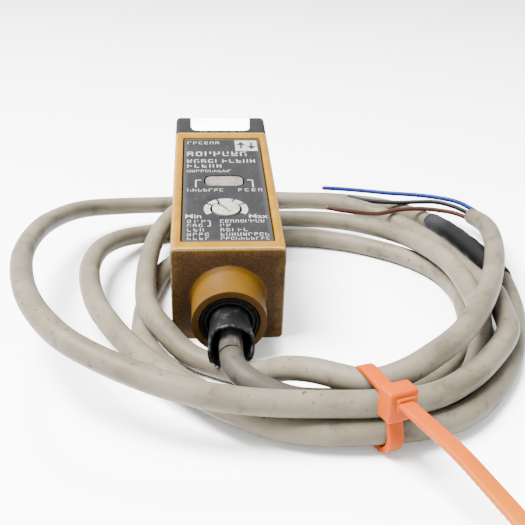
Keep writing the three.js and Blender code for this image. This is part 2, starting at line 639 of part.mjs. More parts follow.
// Cable tie: strap loop, head and tail in one piece. Built with its strap width along X and the loop
// in Y and Z, then turned about Z.
function cableTie() {
  const middleY = BUNDLE[1][0];
  const stretchY = 1 / Math.cos(TIE_TURN);
  const strands = BUNDLE.map(([y, z, room]) => [(y - middleY) * stretchY, z, room]);
  const inner = outlineRound(strands, 0);
  const outer = outlineRound(strands, TIE_T);
  const shape = new THREE.Shape(outer.map((p) => new THREE.Vector2(...p)));
  shape.holes.push(new THREE.Path(inner.map((p) => new THREE.Vector2(...p))));
  const lay = (geometry) => geometry.rotateY(Math.PI / 2).rotateX(Math.PI / 2);
  const loop = lay(new THREE.ExtrudeGeometry(shape, { depth: TIE_W, bevelEnabled: false })).translate(-TIE_W / 2, 0, 0);
  const faceY = Math.min(...outer.map((p) => p[0]));
  const headZ = BUNDLE[3][1] - 0.2;
  const head = box(-TIE_HEAD / 2, TIE_HEAD / 2, faceY - 2.4, faceY + 0.8, headZ - TIE_HEAD / 2, headZ + TIE_HEAD / 2);
  const upper = TAIL_PROFILE.map(([s, z]) => new THREE.Vector2(s, z + TIE_T / 2));
  const lower = TAIL_PROFILE.map(([s, z]) => new THREE.Vector2(s, z - TIE_T / 2)).reverse();
  const tailShape = new THREE.Shape([...upper, ...lower].reverse());
  const tail = new THREE.ExtrudeGeometry(tailShape, { depth: TIE_W, bevelEnabled: false })
    .rotateX(Math.PI / 2).translate(0, TIE_W / 2, 0).rotateZ(-Math.PI / 2).rotateZ(TAIL_TURN - TIE_TURN)
    .translate(0, faceY - 2.2, headZ + 0.6);
  return join(loop, head, tail).rotateZ(TIE_TURN).translate(TIE_X, middleY, 0);
}

// ---------------------------------------------------------------- assembly
const root = new THREE.Group();
const laid = new THREE.Group();
const sensor = new THREE.Group();
sensor.rotation.x = PITCH;
laid.add(sensor);
root.add(laid);

part(sensor, 'housing', housing(), ochrePaint());
part(sensor, 'label_plate', labelPlate(), charcoalPlate());
part(sensor, 'plate_seal', plateSeal(), blackRubber());
part(sensor, 'indicator_window', indicatorWindow(), smokeAcrylic());
part(sensor, 'lamp_stability', indicatorLamp(-LED_PITCH / 2), greenLamp());
part(sensor, 'lamp_output', indicatorLamp(LED_PITCH / 2), redLamp());
part(sensor, 'lamp_spacer', lampSpacer(), blackPlastic());
part(sensor, 'sensitivity_adjuster', adjuster(), creamNylon());
part(sensor, 'adjuster_seal', adjusterSeal(), blackRubber());
part(sensor, 'trimmer_body', trimmer(), blackEpoxy());

part(sensor, 'main_board', mainBoard(), greenLaminate());
part(sensor, 'shield_can', shieldCan(0, 35.5, 10, 9, 4, 0.4), tinPlate());
part(sensor, 'signal_chip', chip(0, 35.5, 6, 6, 1.4), blackEpoxy());
part(sensor, 'output_transistor', chip(-5.4, 13, 2.6, 4, 1.8), blackEpoxy());
part(sensor, 'regulator', chip(5.4, 13, 2.6, 4, 1.8), blackEpoxy());
part(sensor, 'capacitor_input', rodZ(1.6, trimZ, trimZ + 5, -5.2, 20.5, 20), tinPlate());
part(sensor, 'capacitor_output', rodZ(1.6, trimZ, trimZ + 5, 5.2, 20.5, 20), tinPlate());
part(sensor, 'board_header', box(-3, 3, BOARD_Y1 - 2, BOARD_Y1 - 0.4, trimZ, trimZ + 2.4), blackPlastic());

part(sensor, 'lens_head', lensHead(), blackPlastic());
part(sensor, 'head_seal', headSeal(), blackRubber());
part(sensor, 'head_screw_left', headScrew(-1), zincScrew());
part(sensor, 'head_screw_right', headScrew(1), zincScrew());
part(sensor, 'light_window', lightWindow(), milkyAcrylic());
part(sensor, 'optics_block', opticsBlock(), blackPlastic());
part(sensor, 'lens_emitter', lens(lensZs[0]), clearLens());
part(sensor, 'lens_receiver', lens(lensZs[1]), clearLens());
part(sensor, 'emitter_diode', diode(lensZs[0], 1.2), redLamp());
part(sensor, 'receiver_diode', diode(lensZs[1], 0.3), blackEpoxy());
part(sensor, 'optics_board', opticsBoard(), greenLaminate());

part(sensor, 'gland_bush', glandBush(), blackRubber());
part(sensor, 'cable_boot', cableBoot(), blackRubber());
part(sensor, 'cable_entry', cableStub(), greyJacket());
part(sensor, 'cable_clamp', cableClamp(), tinPlate());
part(sensor, 'lead_brown', innerLead(-4.4), brownJacket());
part(sensor, 'lead_blue', innerLead(0.6), blueJacket());
part(sensor, 'lead_black', innerLead(4.4), blackJacket());

// The origin is under the middle of the sensor's own box.
laid.updateMatrixWorld(true);
const middle = new THREE.Box3().setFromObject(sensor, true).getCenter(new THREE.Vector3());
laid.position.y = -middle.y;

part(laid, 'cable', looseCable(), greyJacket());
part(laid, 'splice_sleeve', spliceSleeve(), blackRubber());
part(laid, 'conductor_blue', conductor(BLUE_ROUTE), blueJacket());
part(laid, 'conductor_black', conductor(BLACK_ROUTE), blackJacket());
part(laid, 'conductor_brown', conductor(BROWN_ROUTE), brownJacket());
part(laid, 'cable_tie', cableTie(), orangeNylon());

export default root;
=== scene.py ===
"""Photoelectric sensor lying on its tied cable: the looks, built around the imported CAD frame."""

import json
import math

import bmesh
import bpy
import numpy as np
from mathutils import Matrix


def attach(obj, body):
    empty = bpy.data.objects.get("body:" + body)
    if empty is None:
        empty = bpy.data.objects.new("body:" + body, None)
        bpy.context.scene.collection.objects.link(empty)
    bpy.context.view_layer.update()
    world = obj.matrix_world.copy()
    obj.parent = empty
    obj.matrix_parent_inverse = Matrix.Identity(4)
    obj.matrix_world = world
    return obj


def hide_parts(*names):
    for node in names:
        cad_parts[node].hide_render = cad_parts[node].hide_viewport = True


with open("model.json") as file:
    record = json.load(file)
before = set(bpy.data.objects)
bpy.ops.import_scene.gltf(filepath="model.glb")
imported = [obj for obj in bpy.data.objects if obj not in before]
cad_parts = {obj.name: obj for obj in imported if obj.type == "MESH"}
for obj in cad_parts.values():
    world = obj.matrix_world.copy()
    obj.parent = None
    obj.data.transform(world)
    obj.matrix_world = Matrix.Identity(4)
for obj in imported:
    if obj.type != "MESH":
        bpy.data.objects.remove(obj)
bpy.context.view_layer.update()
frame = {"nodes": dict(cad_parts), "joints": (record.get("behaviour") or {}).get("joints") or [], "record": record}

bl_info = {
    "name": "Photoelectric Sensor",
    "version": (1, 0, 0),
    "blender": (4, 5, 0),
    "location": "3D View > Sidebar > Sensor",
    "description": "Builds the surfaces, materials and stage of a photoelectric sensor on its cable",
    "category": "Object",
}

MM = 0.001

# ---------------------------------------------------------------- places worked out from the frame
KNOB_JOINT = frame["joints"][0]
UP = np.array(KNOB_JOINT["axis"], float)
PITCH = math.atan2(-UP[1], UP[2])
KNOB_AT = np.array([0.0, 14.35, 19.2])  # the adjuster's joint in the sensor's own frame, millimetres

BODY_W = 20.0
BODY_H = 19.2
HOUSING_L = 49.0
PLATE_TOP = 19.0
BOSS_Z = 8.9
BOSS_L = 7.5
CABLE_R = 2.0


def turned(points):
    """Sensor-frame millimetres turned by the pitch, still about the sensor's own zero."""
    p = np.asarray(points, float)
    c, s = math.cos(PITCH), math.sin(PITCH)
    return np.stack([p[..., 0], c * p[..., 1] - s * p[..., 2], s * p[..., 1] + c * p[..., 2]], -1)


SHIFT_Y = KNOB_JOINT["pos_m"][1] / MM - turned(KNOB_AT)[1]  # millimetres from the lower edge to the origin


def sensor_row(points):
    """Sensor-frame millimetres as row-frame metres."""
    return (turned(points) + [0, SHIFT_Y, 0]) * MM


def floor_row(points):
    """Points in millimetres from the sensor's lower edge, level with the floor, as row-frame metres."""
    return (np.asarray(points, float) + [0, SHIFT_Y, 0]) * MM


# Where the loose cable lies: the same points as the part's own route, in metres.
CABLE_ROUTE = [
    # first lap
    (0, -0.01735, 0.00612), (0.0001, -0.0186, 0.0059), (0.0007, -0.0208, 0.0055), (0.0025, -0.0232, 0.005),
    (0.0054, -0.025, 0.0041), (0.0095, -0.0262, 0.0032), (0.0145, -0.0269, 0.0032),
    (0.02, -0.0272, 0.0034), (0.027, -0.0244, 0.0028), (0.0334, -0.0184, 0.002), (0.0389, -0.0112, 0.002),
    (0.0436, -0.0032, 0.002), (0.0462, 0.007, 0.002), (0.0469, 0.0155, 0.002), (0.0458, 0.0235, 0.002),
    (0.042, 0.031, 0.002), (0.036, 0.0372, 0.002), (0.028, 0.0424, 0.002), (0.017, 0.0452, 0.002),
    (0.0035, 0.0428, 0.002), (-0.006, 0.0362, 0.002), (-0.0122, 0.0272, 0.002), (-0.0145, 0.017, 0.002),
    (-0.0155, 0.006, 0.002), (-0.0146, -0.005, 0.002), (-0.01, -0.015, 0.002), (-0.002, -0.0242, 0.002),
    (0.008, -0.0298, 0.0024), (0.02, -0.0313, 0.0034),
    # second lap
    (0.0295, -0.0286, 0.0027), (0.0375, -0.0216, 0.0024), (0.0426, -0.0126, 0.0037),
    (0.0452, -0.0035, 0.0061), (0.0462, 0.006, 0.0063), (0.0464, 0.015, 0.0063), (0.045, 0.024, 0.0063),
    (0.0414, 0.0334, 0.0061), (0.0362, 0.0422, 0.0052), (0.0295, 0.0498, 0.0042), (0.021, 0.0554, 0.003),
    (0.0085, 0.0586, 0.002), (-0.0025, 0.0566, 0.002), (-0.0108, 0.0516, 0.002), (-0.0174, 0.046, 0.003),
    (-0.0222, 0.0392, 0.0046), (-0.0256, 0.0305, 0.0058), (-0.0264, 0.0165, 0.007),
    (-0.0239, 0.0027, 0.0068), (-0.0201, -0.0066, 0.0063), (-0.016, -0.014, 0.0059),
    (-0.0107, -0.0208, 0.0053), (-0.0025, -0.0286, 0.0042), (0.0075, -0.0339, 0.0031),
    (0.02, -0.0354, 0.0034),
    # third lap, with the sleeve
    (0.0326, -0.0321, 0.0028), (0.0416, -0.0232, 0.002), (0.049, -0.0114, 0.002), (0.0532, -0.001, 0.002),
    (0.0559, 0.009, 0.0024), (0.0572, 0.019, 0.00285), (0.0569, 0.028, 0.00285), (0.0556, 0.038, 0.00285),
    (0.0534, 0.048, 0.0028), (0.0498, 0.0575, 0.0025), (0.044, 0.0654, 0.0023), (0.036, 0.0706, 0.002),
    (0.027, 0.0728, 0.002), (0.018, 0.073, 0.002), (0.005, 0.0714, 0.0024), (-0.0125, 0.0616, 0.0048),
    (-0.023, 0.0572, 0.006), (-0.0315, 0.05, 0.0078), (-0.0368, 0.0353, 0.0102), (-0.0378, 0.0154, 0.0126),
    (-0.0358, 0.0001, 0.0136), (-0.0316, -0.0132, 0.0136), (-0.0255, -0.0228, 0.0127),
    (-0.0187, -0.0281, 0.0115), (-0.0107, -0.0319, 0.01), (-0.0029, -0.0338, 0.0087),
    (0.0047, -0.0344, 0.0079), (0.0123, -0.0344, 0.0075), (0.02, -0.0344, 0.0074),
    # fourth lap
    (0.0285, -0.0323, 0.0069), (0.0356, -0.027, 0.0065), (0.042, -0.0196, 0.006),
    (0.0477, -0.0112, 0.0063), (0.05, -0.002, 0.0057), (0.0516, 0.007, 0.0052), (0.0519, 0.017, 0.0034),
    (0.0516, 0.0265, 0.0022), (0.0504, 0.0355, 0.002), (0.048, 0.045, 0.002), (0.0444, 0.0532, 0.0022),
    (0.0384, 0.0596, 0.0032), (0.031, 0.063, 0.0042), (0.0225, 0.0646, 0.0046), (0.014, 0.0652, 0.0048),
    (0.004, 0.0646, 0.0052), (-0.0035, 0.0606, 0.006), (-0.0088, 0.0544, 0.0064),
    (-0.0122, 0.0466, 0.0062), (-0.0144, 0.0355, 0.0061), (-0.0154, 0.022, 0.0061),
    (-0.0152, 0.009, 0.0061), (-0.0142, 0.0005, 0.0061), (-0.0117, -0.0056, 0.0056),
    (-0.0069, -0.0109, 0.0029), (-0.0005, -0.0147, 0.002), (0.004, -0.0177, 0.0029),
    (0.0082, -0.0216, 0.006), (0.0122, -0.0254, 0.0078), (0.016, -0.0282, 0.0082),
    (0.0201, -0.0298, 0.0082),
    # free end
    (0.0254, -0.029, 0.0093), (0.0304, -0.0264, 0.0107), (0.0356, -0.0212, 0.011),
    (0.0406, -0.0138, 0.0108), (0.0456, -0.0046, 0.0104), (0.0504, 0.0062, 0.0095), (0.0556, 0.02, 0.0083),
    (0.0592, 0.033, 0.0074), (0.0609, 0.043, 0.0061), (0.0608, 0.0508, 0.005),
]
BLUE_ROUTE = [
    (0.0613, 0.0512, 0.0064), (0.0586, 0.056, 0.0069), (0.0544, 0.06, 0.0068), (0.0494, 0.0638, 0.0063),
    (0.044, 0.067, 0.0057), (0.0386, 0.0698, 0.0054), (0.033, 0.0718, 0.0053), (0.0275, 0.073, 0.0053),
]
BLACK_ROUTE = [
    (0.06, 0.0515, 0.0056), (0.0574, 0.0554, 0.006), (0.054, 0.0584, 0.0061), (0.05, 0.0602, 0.0056),
    (0.0454, 0.0618, 0.0049), (0.041, 0.0632, 0.0046), (0.0365, 0.0646, 0.0047), (0.033, 0.0662, 0.005),
]
BROWN_ROUTE = [
    (0.0604, 0.0513, 0.0042), (0.0574, 0.0534, 0.0049), (0.0538, 0.0548, 0.0052), (0.049, 0.0556, 0.0054),
    (0.0434, 0.055, 0.0053), (0.038, 0.0534, 0.0049), (0.033, 0.0526, 0.0056), (0.0286, 0.0524, 0.0063),
    (0.0258, 0.0532, 0.0067),
]
SLEEVE_SPAN = (0.478, 0.508)  # the sleeve, as shares of the cable's length

# Cable tie: strands bound where they cross x = TIE_X, as (y, z, room), millimetres.
BUNDLE = ((-27.9, 3.4, 2.05), (-31.3, 3.5, 2.1), (-35.4, 3.5, 2.1), (-30.2, 7.9, 2.1), (-34.4, 7.4, 2.15))
TIE_X = 20.0
TIE_TURN = math.radians(20)
TAIL_TURN = math.radians(22.5)
TIE_W = 2.5
TIE_T = 1.0
HEAD_SIZE = (4.8, 3.2, 4.8)
HEAD_LIFT = 2.4  # the tie head's middle over the upper strands
MOUTH_SIZE = (3.3, 1.1, 1.9)
TAIL_LIFT = 0.6  # the mouth and the tail over the head's middle
TAIL_L = 42
TOOTHED_L = 30

WIRE_R = 0.55
COPPER_R = 0.36
CABLE_STEP = 1.5  # the spacing of the rings along the cable and along a conductor
WIRE_STEP = 0.5
COPPER_OUT = 0.6  # how far the copper stands out, as a share of WIRE_STEP


# ---------------------------------------------------------------- settings
class SensorLook(bpy.types.PropertyGroup):
    """Sizes and colours of the sensor's finish."""
    paint: bpy.props.FloatVectorProperty(
        name="Paint", description="Ochre enamel of the housing", subtype="COLOR", size=3,
        min=0, max=1, default=(0.27, 0.120, 0.001))
    jacket: bpy.props.FloatVectorProperty(
        name="Jacket", description="Clean vinyl of the cable", subtype="COLOR", size=3,
        min=0, max=1, default=(0.150, 0.128, 0.086))
    tie: bpy.props.FloatVectorProperty(
        name="Tie", description="Nylon of the cable tie", subtype="COLOR", size=3,
        min=0, max=1, default=(0.95, 0.125, 0.0))
    cable_radius: bpy.props.FloatProperty(
        name="Cable radius", description="Outer radius of the cable", subtype="DISTANCE", unit="LENGTH",
        default=CABLE_R * MM)
    sleeve_radius: bpy.props.FloatProperty(
        name="Sleeve radius", description="Outer radius of the shrunk sleeve", subtype="DISTANCE",
        unit="LENGTH", default=0.00232)
    edge_round: bpy.props.FloatProperty(
        name="Edge round", description="Rounding of moulded edges", subtype="DISTANCE", unit="LENGTH",
        default=0.00012)
    wear: bpy.props.FloatProperty(
        name="Wear", description="How far dirt and scuffs go", subtype="FACTOR", min=0, max=1, default=1.0)


def look():
    return bpy.context.scene.sensor_look


# ---------------------------------------------------------------- shader expressions
class Wire:
    """One output socket in a material. Arithmetic on wires adds Math nodes."""

    def __init__(self, tree, socket=None):
        self.tree = tree
        self.socket = socket

    def node(self, kind, settings=None, inputs=None, out=0):
        """Adds a node: its settings first, then the values or links of its sockets."""
        made = self.tree.nodes.new(kind)
        for key, value in (settings or {}).items():
            if key == "stops":
                for stop, (place, colour) in zip(self.stops(made, len(value)), value):
                    stop.position = place
                    stop.color = colour
            else:
                setattr(made, key, value)
        for key, value in (inputs or {}).items():
            self.feed(made.inputs[key], value)
        return Wire(self.tree, made.outputs[out])

    @staticmethod
    def stops(ramp, count):
        elements = ramp.color_ramp.elements
        while len(elements) < count:
            elements.new(0.5)
        return elements

    def feed(self, target, value):
        if isinstance(value, Wire):
            self.tree.links.new(value.socket, target)
        elif target.type == "RGBA" and len(value) == 3:
            target.default_value = (*value, 1.0)
        else:
            target.default_value = value

    def math(self, operation, *values, clamp=False):
        settings = {"operation": operation, "use_clamp": clamp}
        return self.node("ShaderNodeMath", settings, dict(enumerate(values)))

    def __add__(self, other):
        return self.math("ADD", self, other)

    def __sub__(self, other):
        return self.math("SUBTRACT", self, other)

    def __rsub__(self, other):
        return self.math("SUBTRACT", other, self)

    def __mul__(self, other):
        return self.math("MULTIPLY", self, other)

    def __abs__(self):
        return self.math("ABSOLUTE", self)

    def darker(self, share):
        """A colour times one number."""
        return self.node("ShaderNodeVectorMath", {"operation": "SCALE"}, {0: self, 3: share})

    __radd__ = __add__
    __rmul__ = __mul__

    def at_least(self, other):
        return self.math("MAXIMUM", self, other)

    def at_most(self, other):
        return self.math("MINIMUM", self, other)

    def rise(self, start, end):
        """0 below start, 1 above end and smooth between; falls instead if start is over end."""
        settings = {"interpolation_type": "SMOOTHSTEP"}
        if start < end:
            return self.node("ShaderNodeMapRange", settings, {0: self, 1: start, 2: end, 3: 0.0, 4: 1.0})
        return self.node("ShaderNodeMapRange", settings, {0: self, 1: end, 2: start, 3: 1.0, 4: 0.0})

    def blend(self, low, high):
        """Mixes two colours by this wire."""
        return self.node("ShaderNodeMix", {"data_type": "RGBA"}, {0: self, 6: low, 7: high}, out=2)

    def parts(self):
        made = self.node("ShaderNodeSeparateXYZ", None, {0: self})
        outputs = made.socket.node.outputs
        return tuple(Wire(self.tree, outputs[i]) for i in range(3))

    def stretched(self, scale, rotation=(0.0, 0.0, 0.0)):
        """Coordinates turned and scaled, so that a noise read at them comes out long or slanted."""
        return self.node("ShaderNodeMapping", None, {"Vector": self, "Rotation": rotation, "Scale": scale})

    def noise(self, scale, detail=3.0, rough=0.55):
        inputs = {"Vector": self, "Scale": scale, "Detail": detail, "Roughness": rough}
        return self.node("ShaderNodeTexNoise", None, inputs)

    def bump(self, distance, strength=1.0):
        return self.node("ShaderNodeBump", None, {"Strength": strength, "Distance": distance, "Height": self})


def object_coords(wire):
    return wire.node("ShaderNodeTexCoord", out=3)


def sensor_coords(wire):
    """Object coordinates turned level with the sensor, in metres from its own zero."""
    back = -np.array([0, math.cos(PITCH), -math.sin(PITCH)]) * SHIFT_Y * MM
    settings = {"vector_type": "POINT"}
    inputs = {"Vector": object_coords(wire), "Location": tuple(back), "Rotation": (-PITCH, 0.0, 0.0)}
    return wire.node("ShaderNodeMapping", settings, inputs)


def along_coords(wire):
    """The piece's own UV map: turns round it, and metres along it."""
    return wire.node("ShaderNodeUVMap", {"uv_map": "along"})


def material(name, recipe, darker=0.3, **constants):
    """A Principled material. The recipe returns its varying inputs, and constants sit on its sockets.

    The light is strong enough to turn a white floor pure white, so the colours are made darker by one share.
    """
    made = bpy.data.materials.new(name)
    made.use_nodes = True
    shader = made.node_tree.nodes["Principled BSDF"]
    wire = Wire(made.node_tree)
    constants.setdefault("Specular_IOR_Level", 0.06)
    for socket, value in constants.items():
        shader.inputs[socket.replace("_", " ")].default_value = value
    varying = recipe(wire)
    if darker != 1.0:
        varying["Base Color"] = varying["Base Color"].darker(darker)
    for socket, value in varying.items():
        wire.feed(shader.inputs[socket], value)
    return made


# ---------------------------------------------------------------- finishes
def paint_recipe(wire):
    """Ochre enamel: a painted highlight along its top edges, brown and mottled on the cable end, bare at the
    edges.
    """
    worn = look().wear
    at = sensor_coords(wire)
    x, y, z = at.parts()
    across = 0.5 * BODY_W * MM - abs(x)
    high = z.at_most(BODY_H * MM - z)
    deep = y.at_most(HOUSING_L * MM - y)
    first = across.at_most(high)
    second = across.at_least(high).at_most(deep).at_least(first)
    grain = at.noise(2600.0, 2.0, 0.6)
    cloud = at.noise(210.0, 4.0, 0.6)
    fine = at.noise(900.0, 3.0, 0.65)
    rise = z - BOSS_Z * MM
    radius = wire.math("SQRT", x * x + rise * rise)
    end_face = y.rise(0.00035, 0.00005)
    off_boss = radius.rise(0.0066, 0.0072)
    boss_front = y.rise(-0.00725, -0.00745)
    rim = first.at_least(0.0).rise(0.0030, 0.0004)
    low_corner = z.rise(0.0060, 0.0005)
    soot = (cloud * 0.55 + fine * 0.45 + 0.16 - 0.22 * rim - 0.10 * low_corner).rise(0.36, 0.62)
    dirt = end_face * off_boss * (0.30 + 0.62 * soot) * worn
    side_dirt = (1.0 - end_face) * (fine * 0.6 + cloud * 0.4).rise(0.55, 0.72) * 0.25 * worn
    end_stain = 0.9 * end_face
    base = cloud.rise(0.30, 0.72).blend(look().paint[:], (0.35, 0.170, 0.001))
    brown = grain.rise(0.35, 0.65).blend((0.016, 0.009, 0.005), (0.042, 0.021, 0.008))
    aged = dirt.blend(base, (0.15, 0.070, 0.008))
    aged = (dirt * (0.35 + 0.65 * grain.rise(0.42, 0.58)) * 1.05).rise(0.10, 0.80).blend(aged, brown)
    aged = side_dirt.blend(aged, (0.12, 0.052, 0.006))
    aged = (boss_front * (0.5 + 0.3 * fine)).blend(aged, (0.075, 0.033, 0.006))
    aged = (end_stain * 0.8).blend(aged, (0.045, 0.020, 0.005))
    chips = (fine * 0.7 + grain * 0.3 + second.rise(0.00045, 0.00005) * 0.32).rise(0.66, 0.78)
    edge = second.rise(0.0007, 0.0001)
    # painted highlight: the top edges of the housing are lightened towards a pale ochre
    top_edge_highlight = edge * z.rise(0.0180, 0.0190)
    aged = (top_edge_highlight * 0.75).blend(aged, (0.62, 0.36, 0.075))
    aged = (chips * edge).blend(aged, (0.30, 0.24, 0.15))
    rough = 0.42 + 0.28 * dirt + 0.12 * fine
    metal = chips * edge * 0.6
    relief = (fine * 0.5 + grain * 0.5) - 0.8 * chips * edge
    return {"Base Color": aged, "Roughness": rough, "Metallic": metal, "Normal": relief.bump(0.00006, 0.8)}


def plate_recipe(wire):
    """Charcoal plate: satin, with light scratches that run mostly along it and dust in the corners."""
    at = sensor_coords(wire)
    scratched = at.stretched((1.0, 0.06, 1.0), (0, 0, 0.35))
    crossed = at.stretched((1.0, 0.08, 1.0), (0, 0, -0.9))
    lines = scratched.noise(5200.0, 2.0).rise(0.69, 0.75)
    other = crossed.noise(4300.0, 2.0).rise(0.70, 0.76)
    cloud = at.noise(260.0, 4.0)
    speck = at.noise(2400.0, 2.0).rise(0.66, 0.74)
    x, y, _ = at.parts()
    rim = (0.008 - abs(x)).at_most(y - 0.0026).at_most(0.046 - y).rise(0.0012, 0.0001)
    base = cloud.blend((0.010, 0.010, 0.011), (0.022, 0.022, 0.023))
    base = (0.55 * lines.at_least(other)).blend(base, (0.075, 0.075, 0.078))
    base = (0.45 * speck + 0.30 * rim).blend(base, (0.060, 0.057, 0.052))
    rough = 0.40 + 0.2 * cloud + 0.15 * speck
    relief = speck - 0.7 * lines.at_least(other)
    return {"Base Color": base, "Roughness": rough, "Normal": relief.bump(0.00002, 0.7)}


def ink_recipe(wire):
    """Pale print, rubbed thin in places."""
    at = sensor_coords(wire)
    rubbed = at.noise(1500.0, 3.0).rise(0.50, 0.70)
    base = (0.55 * rubbed).blend((0.36, 0.355, 0.34), (0.08, 0.08, 0.082))
    return {"Base Color": base, "Roughness": 0.45 + 0.2 * rubbed}


def dark_ink_recipe(wire):
    """Dark print on the pale badge, slightly uneven."""
    rubbed = object_coords(wire).noise(1700.0, 2.0)
    base = rubbed.blend((0.03, 0.03, 0.032), (0.07, 0.07, 0.07))
    return {"Base Color": base, "Roughness": 0.45 + 0.1 * rubbed}


def rubber_recipe(wire):
    """Black rubber: fine grain, a grey bloom of dust and a few scuffs."""
    at = object_coords(wire)
    dust = at.noise(700.0, 4.0, 0.65).rise(0.46, 0.78)
    grain = at.noise(5000.0, 2.0)
    scuff = at.noise(330.0, 3.0).rise(0.60, 0.72)
    base = (0.55 * dust).blend((0.004, 0.004, 0.0045), (0.022, 0.021, 0.020))
    base = (0.35 * scuff).blend(base, (0.035, 0.034, 0.032))
    relief = (grain * 0.6 + dust).bump(0.00004, 0.7)
    return {"Base Color": base, "Roughness": 0.38 + 0.35 * dust, "Normal": relief}


def gland_recipe(wire):
    """Gland rubber: the same black with a coarse moulded grain."""
    at = object_coords(wire)
    grain = at.noise(2300.0, 3.0, 0.7)
    speck = grain.rise(0.55, 0.70)
    base = (0.6 * speck).blend((0.004, 0.004, 0.0045), (0.025, 0.024, 0.023))
    return {"Base Color": base, "Roughness": 0.5 + 0.2 * speck, "Normal": grain.bump(0.00012, 0.9)}


def jacket_recipe(wire):
    """Beige-grey vinyl: soft mottling, handling dirt in long smears and small dark nicks, and painted shade on its
    underside.
    """
    worn = look().wear
    at = object_coords(wire)
    _, _, z = at.parts()
    along = along_coords(wire)
    smear = along.stretched((3.0, 90.0, 1.0)).noise(1.0, 4.0, 0.6).rise(0.50, 0.78)
    cloud = at.noise(75.0, 4.0, 0.6)
    patch = at.noise(240.0, 4.0, 0.62).rise(0.55, 0.75)
    nick = at.noise(900.0, 3.0, 0.6).rise(0.64, 0.72)
    grain = at.noise(4200.0, 2.0)
    # painted shade: the underside of the cable, near the floor
    under = z.rise(0.0030, 0.0004)
    _, length, _ = along.parts()
    root = length.rise(0.050, 0.012)
    base = cloud.rise(0.30, 0.70).blend(look().jacket[:], (0.230, 0.200, 0.145))
    base = (0.60 * smear * worn).blend(base, (0.060, 0.045, 0.028))
    base = (0.60 * patch * worn).blend(base, (0.050, 0.039, 0.026))
    base = (0.75 * nick * worn).blend(base, (0.018, 0.014, 0.011))
    # painted shade darkens the cable's underside
    base = (0.25 * under).blend(base, (0.062, 0.050, 0.038))
    base = (root * (0.75 + 0.25 * patch)).at_most(1.0).blend(base, (0.030, 0.028, 0.026))
    rough = 0.40 + 0.15 * cloud + 0.2 * smear
    return {"Base Color": base, "Roughness": rough, "Normal": (grain * 0.5 + patch).bump(0.00004, 0.6)}


def sleeve_recipe(wire):
    """Shrunk sleeve: black, wrinkled round, greyer towards its left end."""
    along = along_coords(wire)
    _, length, _ = along.parts()
    at = object_coords(wire)
    cloud = at.noise(300.0, 3.0)
    grey = length.rise(0.026, 0.034) * (0.35 + 0.4 * cloud)
    base = grey.blend((0.004, 0.004, 0.0045), (0.045, 0.045, 0.047))
    ring = along.stretched((2.0, 900.0, 1.0)).noise(1.0, 2.0)
    return {"Base Color": base, "Roughness": 0.36 + 0.25 * cloud, "Normal": ring.bump(0.00010, 0.7)}


def wire_recipe(colour):
    """Insulation of one colour, dulled by handling."""
    def recipe(wire):
        at = object_coords(wire)
        cloud = at.noise(500.0, 3.0)
        dull = tuple(0.7 * c + 0.008 for c in colour)
        base = cloud.rise(0.40, 0.75).blend(colour, dull)
        return {"Base Color": base, "Roughness": 0.35 + 0.25 * cloud}
    return recipe


def copper_recipe(wire):
    """Tinned strands laid in a slow twist."""
    along = along_coords(wire)
    turn, length, _ = along.parts()
    strands = wire.math("SINE", (turn * 7.0 + length * 900.0) * 6.2832)
    cloud = object_coords(wire).noise(1500.0, 2.0)
    base = cloud.blend((0.32, 0.13, 0.08), (0.40, 0.25, 0.20))
    return {"Base Color": base, "Roughness": 0.35 + 0.2 * cloud, "Normal": strands.bump(0.00005)}


def tie_recipe(wire):
    """Bright orange nylon, paler where it thins and frosted with fine scratches."""
    at = object_coords(wire)
    _, y, _ = at.parts()
    cloud = at.noise(180.0, 3.0)
    fine = at.noise(1900.0, 3.0, 0.6)
    tail = (y + 0.060).rise(0.0, -0.035)
    base = cloud.rise(0.35, 0.7).blend(look().tie[:], (1.0, 0.16, 0.0))
    base = (0.75 * tail).blend(base, (1.0, 0.36, 0.0))
    base = (0.25 * fine.rise(0.58, 0.72)).blend(base, (1.0, 0.42, 0.01))
    return {"Base Color": base, "Roughness": 0.30 + 0.2 * fine, "Normal": fine.bump(0.00002, 0.5)}


def head_recipe(wire):
    """Matt black moulding with a fine spark grain and a soft grey haze."""
    at = sensor_coords(wire)
    grain = at.noise(3600.0, 3.0, 0.65)
    haze = at.noise(180.0, 3.0)
    base = (haze * 0.6 + grain * 0.4).blend((0.012, 0.012, 0.013), (0.042, 0.041, 0.040))
    return {"Base Color": base, "Roughness": 0.48 + 0.2 * haze, "Normal": grain.bump(0.00005, 0.7)}


def window_recipe(wire):
    """Glossy cover, near white: partly milky, partly a painted reflection of the bright surroundings, with a faint
    print of dust.
    """
    at = sensor_coords(wire)
    dust = at.noise(800.0, 4.0).rise(0.52, 0.75)
    # the near-white colour is partly a painted reflection of the bright surroundings on the glossy cover
    base = (0.3 * dust).blend((0.93, 0.93, 0.925), (0.78, 0.77, 0.75))
    return {"Base Color": base, "Roughness": 0.06 + 0.12 * dust}


def smoke_recipe(wire):
    """Cloudy indicator cover: brown-grey, scratched, paler in its middle."""
    at = sensor_coords(wire)
    x, y, _ = at.parts()
    cloud = at.noise(650.0, 4.0, 0.65)
    middle = (abs(x) * 0.8 + abs(y - 0.026)).rise(0.0040, 0.0005)
    streak = at.stretched((0.2, 1.0, 1.0)).noise(2600.0, 3.0).rise(0.5, 0.7)
    base = cloud.rise(0.3, 0.7).blend((0.075, 0.062, 0.055), (0.15, 0.135, 0.122))
    base = (middle * 0.45 + 0.25 * streak).blend(base, (0.20, 0.185, 0.172))
    return {"Base Color": base, "Roughness": 0.28 + 0.3 * cloud, "Normal": cloud.bump(0.00008, 0.6)}


